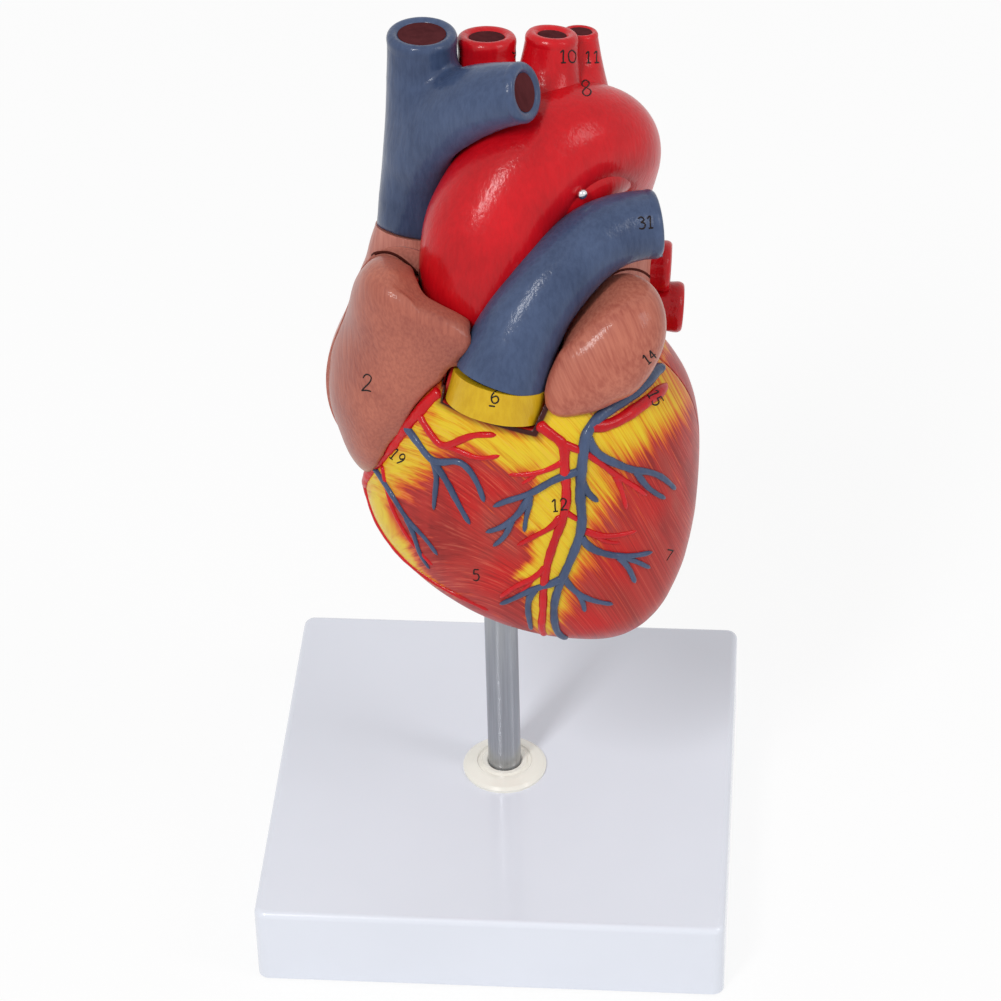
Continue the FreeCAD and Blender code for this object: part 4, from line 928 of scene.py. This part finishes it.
# %% The places that keep their form, in mm
FADE = 5.0
NOTCH_MIDDLE, NOTCH_REACH, NOTCH_DEPTH = (3.0, -24.0, 167.0), 21.0, 1.5
CAVA_ENDS, CAVA_KEPT = ((-16.3, 15.0, 238.5), (8.8, -1.6, 233.6)), 9.0
CAVA_FOOT, CAVA_FOOT_RISE, CAVA_SINK = 188.0, 8.0, 1.3


def beside_notch(points):
    """1 near the notch and well under the outer form, 0 elsewhere."""
    near = np.clip((NOTCH_REACH - np.linalg.norm(points - NOTCH_MIDDLE, axis=1)) / FADE, 0.0, 1.0)
    depth = points[:, 1] - face(points[:, 0], points[:, 2])[0][:, 1]
    return near * np.clip((depth - NOTCH_DEPTH) / 2.0, 0.0, 1.0)


def cava_foot(points):
    """1 at the foot of the upper vena cava, falling to 0 above it."""
    return 1.0 - np.clip((points[:, 2] - CAVA_FOOT) / CAVA_FOOT_RISE, 0.0, 1.0)


def off_cava_ends(points):
    """0 at the foot and near the two cut ends of the upper vena cava, 1 between them."""
    away = [np.linalg.norm(points - end, axis=1) for end in CAVA_ENDS]
    return np.prod([np.clip((a - CAVA_KEPT) / FADE, 0.0, 1.0) for a in away], 0) * (1.0 - cava_foot(points))


def everywhere(points):
    """1 at every point."""
    return np.ones(len(points))


print("free at the cava's middle", off_cava_ends(np.array([(-17.0, 13.0, 212.0)])))

# %% Rounded copies
RIGHT_MOVED = [
    (-29.9, 63, -29.9, 62.3), (-24.2, 63.4, -24.4, 60.2), (-20.3, 62.1, -21.5, 57.3),
    (-17.1, 58.2, -19.2, 54.1), (-12.7, 51.2, -15.9, 49.6), (-10.1, 47.2, -11.3, 47.9),
    (-8.2, 43.7, -6.4, 45.3), (-10.7, 37.2, -9.1, 37.4), (-13.6, 28.7, -14.4, 29.2),
    (-18.4, 24.2, -18.9, 24.5), (-22.8, 19.6, -23.7, 19.9), (-27.4, 10.4, -29.9, 12.6),
    (-32.3, 8.1, -33.2, 6.4), (-35.7, 8.6, -35.9, 7.6), (-38.5, 11.1, -37.8, 11), (-42.4, 17.6, -40.9, 18),
    (-43.6, 26.2, -42.8, 26.2)]
RIGHT_HELD = [(-32.7, 42.7), (-30.2, 27.7), (-25.2, 35.2), (-37.7, 50.2), (-35.2, 20.2), (-26.4, 47.7)]
LEFT_MOVED = [
    (11.6, 29.5, 10.8, 29.7), (13.5, 36.5, 13.4, 36.2), (16.7, 40.4, 15.6, 40.3), (18.6, 45.5, 18.5, 45.5),
    (23.1, 53.1, 23.2, 52.9), (26.3, 56.3, 26.4, 56.1), (30.8, 57, 30.7, 57.6), (35.2, 55.4, 35.2, 56.6),
    (39.7, 50.6, 39.7, 51.4), (41.5, 45.5, 41.4, 45.7), (41, 40.4, 40.9, 40.4), (34.1, 28.7, 34.1, 28.5),
    (27.6, 22.2, 27.2, 24.2), (21.1, 19.9, 20.7, 21.3), (12.9, 22.7, 11.1, 21.4), (11.5, 26.2, 10.5, 25.7)]
LEFT_HELD = [(27.4, 40.2), (19.9, 32.7), (32.4, 47.7), (24.9, 30.2)]


def softened(name, node, material, body, passes, cell=CELL, swell=0.0, where=everywhere, foot=None,
             moved=(), held=()):
    """Soft copy of a node: rounded and swollen by the share that where gives, its foot sunk at the back.

    Places that are moved or held are given as seen, in mm right of and above the view's middle.
    """
    thing = recast(name, node, cell)
    mesh = thing.data
    points = read_rows(mesh.vertices, "co", 3) / MM
    edges = read_rows(mesh.edges, "vertices", 2, np.int32)
    weight = where(points)[:, None]
    sink = CAVA_SINK * foot(points) if foot else 0.0
    points = relaxed(points, edges, passes, weight)
    points[:, 2] -= sink * np.clip((points[:, 1] - 6.0) / 6.0, 0.0, 1.0)
    if swell:
        move_points(mesh, points)
        points = points + swell * weight * read_rows(mesh.vertex_normals, "vector", 3)
    if moved:
        points = relaxed(nudged(points, moved, held), edges, 6, 1.0)
    move_points(mesh, points)
    mesh.materials.clear()
    mesh.materials.append(material)
    mesh.polygons.foreach_set("use_smooth", np.ones(len(mesh.polygons), bool))
    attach(thing, body)
    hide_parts(node)
    print(name, len(mesh.polygons), "faces")


softened("right_auricle_soft", "right_auricle", right_pink, "front_wall", 14,
         moved=RIGHT_MOVED, held=RIGHT_HELD)
softened("left_auricle_soft", "left_auricle", left_pink, "front_wall", 130,
         swell=0.45, moved=LEFT_MOVED, held=LEFT_HELD)
softened("front_wall_soft", "front_ventricle_wall", muscle_red, "front_wall", 90,
         cell=0.6, where=beside_notch)
softened("cava_soft", "superior_vena_cava", vein_blue, "heart", 240,
         swell=0.5, where=off_cava_ends, foot=cava_foot)

# %% [markdown]
# ## Lips and dishes of the cut vessels
# Every cut vessel ends in a rounded lip, and its bore is painted dark red-brown. A bevelled edge
# would be too even and too thin, so a lip is a profile turned about the vessel's axis: it leaves
# the wall, rolls over the cut face and dips into the bore. The dark part is a shallow painted dish
# sunk within the lip.

# %% Surfaces of revolution
def circles(side, other, sides=72):
    """Points of unit circles, cos w * side + sin w * other, one circle to a row."""
    w = np.linspace(0, 2 * np.pi, sides, endpoint=False)
    return np.cos(w)[:, None] * side[:, None] + np.sin(w)[:, None] * other[:, None]


def turned(profile, centre, way):
    """Points centre + way * height + radius * circle across way, as a wrapped grid."""
    way = unit(np.asarray(way, float))
    side = unit(np.cross(way, (0.0, 1.0, 0.0) if abs(way[1]) < 0.9 else (1.0, 0.0, 0.0)))
    ring = circles(side[None], np.cross(way, side)[None])
    radius, height = profile[:, 0, None, None], profile[:, 1, None, None]
    points = np.asarray(centre, float) + height * way + radius * ring
    return points.reshape(-1, 3), grid_faces(len(profile), ring.shape[1], True)


def lip(centre, way, outer, bore):
    """From the wall over the cut face into the bore; its back stands 0.3 of its width proud."""
    w = outer - bore
    rows = [(outer + 0.02, -3.2), (outer + 0.14, -1.6), (outer + 0.14, -0.3), (outer - 0.26 * w, 0.30 * w),
            (outer - 0.62 * w, 0.30 * w), (bore + 0.06, 0.0), (bore, -0.9)]
    return turned(through(rows, 26), centre, way)


def dish(centre, way, bore):
    """A shallow bowl that narrows at its middle to a tiny open ring, 0.02 mm in radius."""
    rows = [(bore + 0.12, 0.24), (0.8 * bore, 0.11), (0.45 * bore, 0.07), (0.02, 0.06)]
    return turned(through(rows, 14), centre, way)


def sleeve(path, radii, rows=60):
    """Rings of radius r(f) square to a smooth path."""
    centre = through(path, rows)
    way = unit(np.gradient(centre, axis=0))
    side = unit(np.cross(way, (0.0, 1.0, 0.0)))
    r = through(np.stack([np.arange(len(radii), dtype=float), radii], 1), rows)[:, 1]
    ring = circles(side, np.cross(way, side))
    return (centre[:, None] + r[:, None, None] * ring).reshape(-1, 3), grid_faces(rows, ring.shape[1], True)


def path_end(path):
    """The last point of a smooth path, and the way it points there."""
    points = through(path, 60)
    return points[-1], points[-1] - points[-2]


print("a dish has", len(dish((0.0, 0.0, 0.0), (0.0, 0.0, 1.0), 4.0)[0]), "points")

# %% Cut ends: slot, outer radius, radius of the painted bore, and the path of each centre line
ENDS = {
    "cava": ("vein", 8.2, 5.6, [(-19.4, 11, 186.6), (-17, 13.6, 215), (-16.3, 15, 238.5)]),
    "cava_branch": ("vein", 7.1, 4.5,
        [(-17, 12.5, 205), (-10, 9, 218), (-2, 3, 228.4), (8.8, -1.6, 233.6)]),
    "brachiocephalic": ("artery", 6.9, 4.1,
        [(0.5, 0, 204), (-1.2, 13, 218), (-1.5, 18.4, 226.5), (-1.5, 20.6, 234.6)]),
    "left_carotid": ("artery", 6.2, 3.3,
        [(12.2, 6, 210.5), (12.9, 16.8, 220), (13.3, 20.4, 227), (13.9, 22.4, 234.5)]),
    "subclavian": ("artery", 4.2, 2.7,
        [(19.2, 12, 212), (19.5, 22.5, 217.5), (19.7, 27.4, 223), (20.1, 29.8, 231.1)]),
    "left_veins": ("artery", 6.1, 4,
        [(26, 15, 175), (42, 14.8, 174.4)], [(26, 13, 164.5), (45, 13.8, 163)]),
    "right_veins": ("artery", 5.4, 3.6,
        [(-8, 24, 177.5), (-18, 27, 178), (-27, 28.5, 178.5)],
        [(-6, 24, 166), (-18, 26.5, 164.5), (-29, 27.5, 163)]),
    "right_pulmonary": ("vein", 6.6, 4.5,
        [(21, -3, 195), (15, 10, 195), (5, 20, 194.5), (-10, 27, 194), (-23, 29, 193)]),
    "lower_cava": ("vein", 9, 6.4, [(-20, 8, 150), (-19.5, 13.5, 138), (-18.5, 18, 121)]),
    "descending_aorta": ("artery", 9.2, 6.2,
        [(9, 3.5, 209), (19, 11, 213), (27, 18, 208), (28.6, 24.5, 197), (27, 29.5, 185)]),
    "trunk": ("vein", 8.15, 5.8, [(31, -4.9, 198.4), (39.3, -2.55, 198.45)]),
}
print("cut ends", sum(len(paths) for _, _, _, *paths in ENDS.values()))

# %% [markdown]
# The three branches of the arch widen softly where they leave it, as if pulled out of it by hand.
# Each gets a sleeve in place of its solid: rings set square to the branch's line, with a radius
# that follows a smooth curve.

# %% Sleeves of the branches: node, and outer radii from the arch upwards
SLEEVES = {
    "brachiocephalic": ("brachiocephalic_artery", [8.6, 8.2, 7.6, 7.0, 6.9]),
    "left_carotid": ("left_common_carotid_artery", [12.0, 10.6, 8.4, 6.7, 6.2]),
    "subclavian": ("left_subclavian_artery", [11.5, 10.2, 7.6, 5.2, 4.2]),
}
for name, (node, radii) in SLEEVES.items():
    piece = mesh_object(name + "_sleeve", *sleeve(ENDS[name][3], radii), artery_red, "heart")
    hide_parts(node)
print("sleeves", len(SLEEVES))

# %% Lips and dishes
for name, (slot, outer, bore, *paths) in ENDS.items():
    ends = [path_end(path) for path in paths]
    points, faces = joined([lip(*end, outer, bore) for end in ends])
    piece = mesh_object(name + "_lip", points, faces, SLOT_FINISH[slot], "heart")
    points, faces = joined([dish(*end, bore) for end in ends])
    piece = mesh_object(name + "_bore", points, faces, lumen_dark, "heart")
print("lips and dishes", len(ENDS))

# %% [markdown]
# ## Hand-written numbers
# Many parts carry a small number, written with a fine pen. Text objects would be too regular,
# and would have to be bent onto the form. Here a digit is one or more strokes in a box one unit
# high. The strokes are laid out on a plane that faces the viewer, and rays carry their points
# onto the surface of the piece, where a flat ribbon of ink follows them.

# %% Digits as strokes
DIGITS = {
    "0": [
        [(0.3, 1), (0.05, 0.8), (0.02, 0.4), (0.15, 0.05), (0.4, 0), (0.57, 0.3), (0.56, 0.75), (0.3, 1)]],
    "1": [[(0.08, 0.8), (0.3, 1), (0.3, 0.5), (0.3, 0)], [(0.1, 0), (0.5, 0)]],
    "2": [
        [(0.06, 0.78), (0.25, 1), (0.52, 0.86), (0.46, 0.55), (0.2, 0.25), (0.03, 0.03)],
        [(0.03, 0.03), (0.3, 0.07), (0.58, 0.02)]],
    "3": [
        [(0.05, 0.88), (0.3, 1), (0.5, 0.78), (0.22, 0.55)],
        [(0.22, 0.55), (0.56, 0.4), (0.4, 0.03), (0.04, 0.1)]],
    "4": [[(0.4, 0), (0.4, 0.5), (0.4, 1)], [(0.4, 1), (0.2, 0.65), (0, 0.34)], [(0, 0.34), (0.58, 0.34)]],
    "5": [
        [(0.54, 1), (0.1, 1)], [(0.1, 1), (0.07, 0.58)],
        [(0.07, 0.58), (0.36, 0.62), (0.55, 0.35), (0.36, 0.02), (0.02, 0.1)]],
    "6": [[(0.5, 0.95), (0.2, 0.75), (0.04, 0.35), (0.26, 0), (0.54, 0.2), (0.4, 0.5), (0.08, 0.35)]],
    "7": [[(0.02, 0.98), (0.55, 1)], [(0.55, 1), (0.35, 0.5), (0.2, 0)]],
    "8": [
        [(0.3, 0.52), (0.06, 0.76), (0.3, 1), (0.53, 0.78), (0.3, 0.52), (0.04, 0.24), (0.3, 0),
            (0.57, 0.25), (0.3, 0.52)]],
    "9": [[(0.52, 0.7), (0.24, 0.48), (0.06, 0.74), (0.3, 1), (0.52, 0.75), (0.46, 0.35), (0.24, 0)]],
    "_": [[(0, 0), (0.6, 0)]],
}
PEN = 0.44  # mm


def surface_of(name):
    """A search tree of a piece's triangles, with metres as they stand in the frame."""
    thing = bpy.data.objects[name]
    place = np.array(thing.matrix_world)
    points = read_rows(thing.data.vertices, "co", 3) @ place[:3, :3].T + place[:3, 3]
    return BVHTree.FromPolygons(points.tolist(), [tuple(p.vertices) for p in thing.data.polygons])


def inked(u, v, trees, width):
    """A ribbon of ink on the nearest of the pieces, along a line given as seen from the eye."""
    start = Vector((eye * MM).tolist())
    spots, ups = [], []
    for a, b in zip(u, v):
        aim = Vector(((-back * DISTANCE + right * a + up * b) * MM).tolist()).normalized()
        hits = [h for h in (tree.ray_cast(start, aim) for tree in trees) if h[0] is not None]
        if hits:
            spot, normal = min(hits, key=lambda h: h[3])[:2]
            spots.append(np.array(spot) / MM)
            ups.append(np.array(normal) * (-1.0 if normal.dot(aim) > 0 else 1.0))
    if len(spots) < 3:
        return []
    spots, ups = np.array(spots), np.array(ups)
    ups = np.stack([np.convolve(np.pad(n, 2, "edge"), np.ones(5) / 5, "valid") for n in ups.T], 1)
    across = unit(np.cross(np.gradient(spots, axis=0), ups), 1e-9)
    k = np.arange(len(spots))
    half = width / 2 * np.sqrt(np.clip(np.minimum(k + 1.5, len(spots) - k + 0.5) / 3.0, 0, 1))
    profile = [(-1.0, -0.12), (-0.8, 0.07), (0.0, 0.10), (0.8, 0.07), (1.0, -0.12)]
    points = np.stack([spots + across * (half * o)[:, None] + ups * h for o, h in profile], 1)
    return [(points.reshape(-1, 3), grid_faces(len(spots), len(profile)))]


def written(text, x, y, tall, turn, targets):
    """The digits' strokes, turned and moved to their place, as ribbons of ink."""
    trees = [surface_of(name) for name in targets.split()]
    turn = math.radians(turn)
    grids = []
    for k, digit in enumerate(text):
        corner = ((k - len(text) / 2) * 0.72 * tall, -tall / 2)
        for stroke in DIGITS[digit]:
            line = through(np.array(stroke) * tall + corner, 14 if len(stroke) < 4 else 30)
            u = x + line[:, 0] * math.cos(turn) - line[:, 1] * math.sin(turn)
            v = y + line[:, 0] * math.sin(turn) + line[:, 1] * math.cos(turn)
            grids += inked(u, v, trees, PEN)
    return grids


print("digits", len(DIGITS), "strokes", sum(map(len, DIGITS.values())))

# %% Numbers: text, mm right of and above the view's middle, height, turn in degrees, pieces written on
NUMBERS = {
    "front_wall": [
        ("2", -33.2, 29.4, 4.3, -4, "right_auricle_soft"), ("5", -5.9, -18.7, 2.8, 0, "front_skin"),
        ("12", 14.9, -1.1, 3, 6, "front_skin descending_relief"),
        ("14", 37.4, 36, 2.5, 40, "left_auricle_soft"),
        ("15", 38.9, 25.6, 2.8, -62, "front_skin left_branch_relief"),
        ("19", -25.6, 10.9, 2.8, -38, "front_skin right_coronary_relief"),
        ("7", 42.4, -13.8, 2.8, -14, "front_skin")],
    "heart": [
        ("6", -1.1, 26.1, 3.6, -4, "pulmonary_ring"), ("_", -1.8, 24.9, 2.6, -8, "pulmonary_ring"),
        ("31", 36.6, 69.6, 3, 6, "pulmonary_trunk"),
        ("8", 21.7, 103.3, 4, 8, "aorta left_carotid_sleeve subclavian_sleeve"),
        ("10", 17, 111.2, 3.1, 2, "left_carotid_sleeve"), ("11", 23.2, 111, 2.8, 2, "subclavian_sleeve"),
        ("9", 3.6, 112, 2.4, 4, "brachiocephalic_sleeve")],
}
for body, rows in NUMBERS.items():
    grids = [grid for row in rows for grid in written(*row)]
    mesh_object("numbers_on_" + body, *joined(grids), ink, body)
    print("numbers on", body, len(grids), "strokes")

# %% [markdown]
# ## The painted shade beside the auricles
# Where the auricles of the front wall meet the rear piece, the joint lies in shade, and that shade
# is painted in dark brown. A groove there would be too narrow to see. The painted shade is a thin
# line with one short broad dab beside the aorta, so the ribbon that drew the numbers draws it too.
# It lies on the rear piece and stays there when the front wall comes off.

# %% Painted shade in the joints: width, piece, and a line as seen
JOINT_SHADE_LINES = [
    (0.9, "right_atrium", [
        (-32.3, 61.4), (-31, 61.9), (-29, 62.2), (-25.3, 60.9), (-21.5, 57.6), (-19, 54.2), (-17.4, 50.9),
        (-14.9, 48.9)]),
    (4, "aorta", [(-20.4, 57), (-20.3, 55.9), (-20.2, 54.8), (-19.7, 53.6)]),
    (0.7, "left_atrium", [(27, 56), (29.6, 57.4), (33.2, 57.9), (36.7, 56.6), (38.3, 54.9)]),
]
# painted shade: dark brown ribbons along the joints beside the auricles
grids = []
for width, target, line in JOINT_SHADE_LINES:
    line = through(line, 90)
    grids += inked(line[:, 0], line[:, 1], [surface_of(target)], width)
mesh_object("auricle_joint_shade", *joined(grids), joint_shade_brown, "heart")
print("seams", len(grids))

# %% [markdown]
# ## Light, room and floor
# A pale sweep stands in for a studio table: one tall soft window a little left of the
# viewer, a weaker one to the right, and an even glow from the white room. What the eye sees of
# floor and room is whiter than what they light the model with.

# %% Room and lights
WHITE = (1.0, 1.0, 1.0, 1.0)
FLOOR_HALF = 4.0
MIDDLE = Vector((0.0, 0.0, 0.15))


def looked_at(tree):
    """1 for rays that show a thing to the eye: straight on, in a reflection or through something."""
    rays = add(tree, "LightPath").outputs
    straight = maths(tree, "MAXIMUM", rays["Is Camera Ray"], rays["Is Glossy Ray"])
    return maths(tree, "MAXIMUM", straight, rays["Is Transmission Ray"])


def floor_material():
    """White paper that is seen nearly white and still shows a faint shadow."""
    mat, tree, shader = new_material("white_sweep")
    grain = noise(tree, coords_of(tree), 3.0, 1.0)
    paper = ramp(tree, grain, [(0.3, (0.93, 0.93, 0.93)), (0.7, (0.94, 0.94, 0.94))])
    set_inputs(tree, shader, {"Base Color": paper, "Roughness": 0.9})
    share = maths(tree, "MULTIPLY", looked_at(tree), 0.88)
    white = add(tree, "Emission", {"Color": WHITE, "Strength": 1.0}).outputs[0]
    mixed = add(tree, "MixShader", {0: share, 1: shader.outputs["BSDF"], 2: white}).outputs[0]
    tree.links.new(mixed, tree.nodes["Material Output"].inputs["Surface"])
    return mat


def white_room():
    """A room that glows at 0.56 and looks white."""
    world = bpy.data.worlds.new("white_room")
    world.use_nodes = True
    tree = world.node_tree
    tree.nodes.clear()
    glow, shown = (add(tree, "Background", {"Color": WHITE, "Strength": s}).outputs[0] for s in (0.56, 1.0))
    mixed = add(tree, "MixShader", {0: looked_at(tree), 1: glow, 2: shown}).outputs[0]
    add(tree, "OutputWorld", {"Surface": mixed})
    return world


def softbox(name, at, size, watts):
    """A soft window of width x height metres, facing the model's middle."""
    light = bpy.data.lights.new(name, "AREA")
    light.shape = "RECTANGLE"
    light.size, light.size_y = size
    light.energy = watts
    thing = new_object(name, light)
    turn = (Vector(at) - MIDDLE).to_track_quat("Z", "Y").to_matrix().to_4x4()
    thing.matrix_world = Matrix.Translation(Vector(at)) @ turn


mesh = bpy.data.meshes.new("sweep")
corners = [(x * FLOOR_HALF, y * FLOOR_HALF, 0.0) for x, y in ((-1, -1), (1, -1), (1, 1), (-1, 1))]
mesh.from_pydata(corners, [], [(0, 1, 2, 3)])
mesh.materials.append(floor_material())
new_object("sweep", mesh)
bpy.context.scene.world = white_room()
softbox("window_left", (-0.50, -1.05, 1.40), (0.26, 0.62), 12.0)
softbox("window_right", (0.95, -0.35, 0.9), (0.30, 0.55), 2.5)
bpy.context.scene.view_settings.view_transform = "Standard"
print("lights", len(bpy.data.lights))
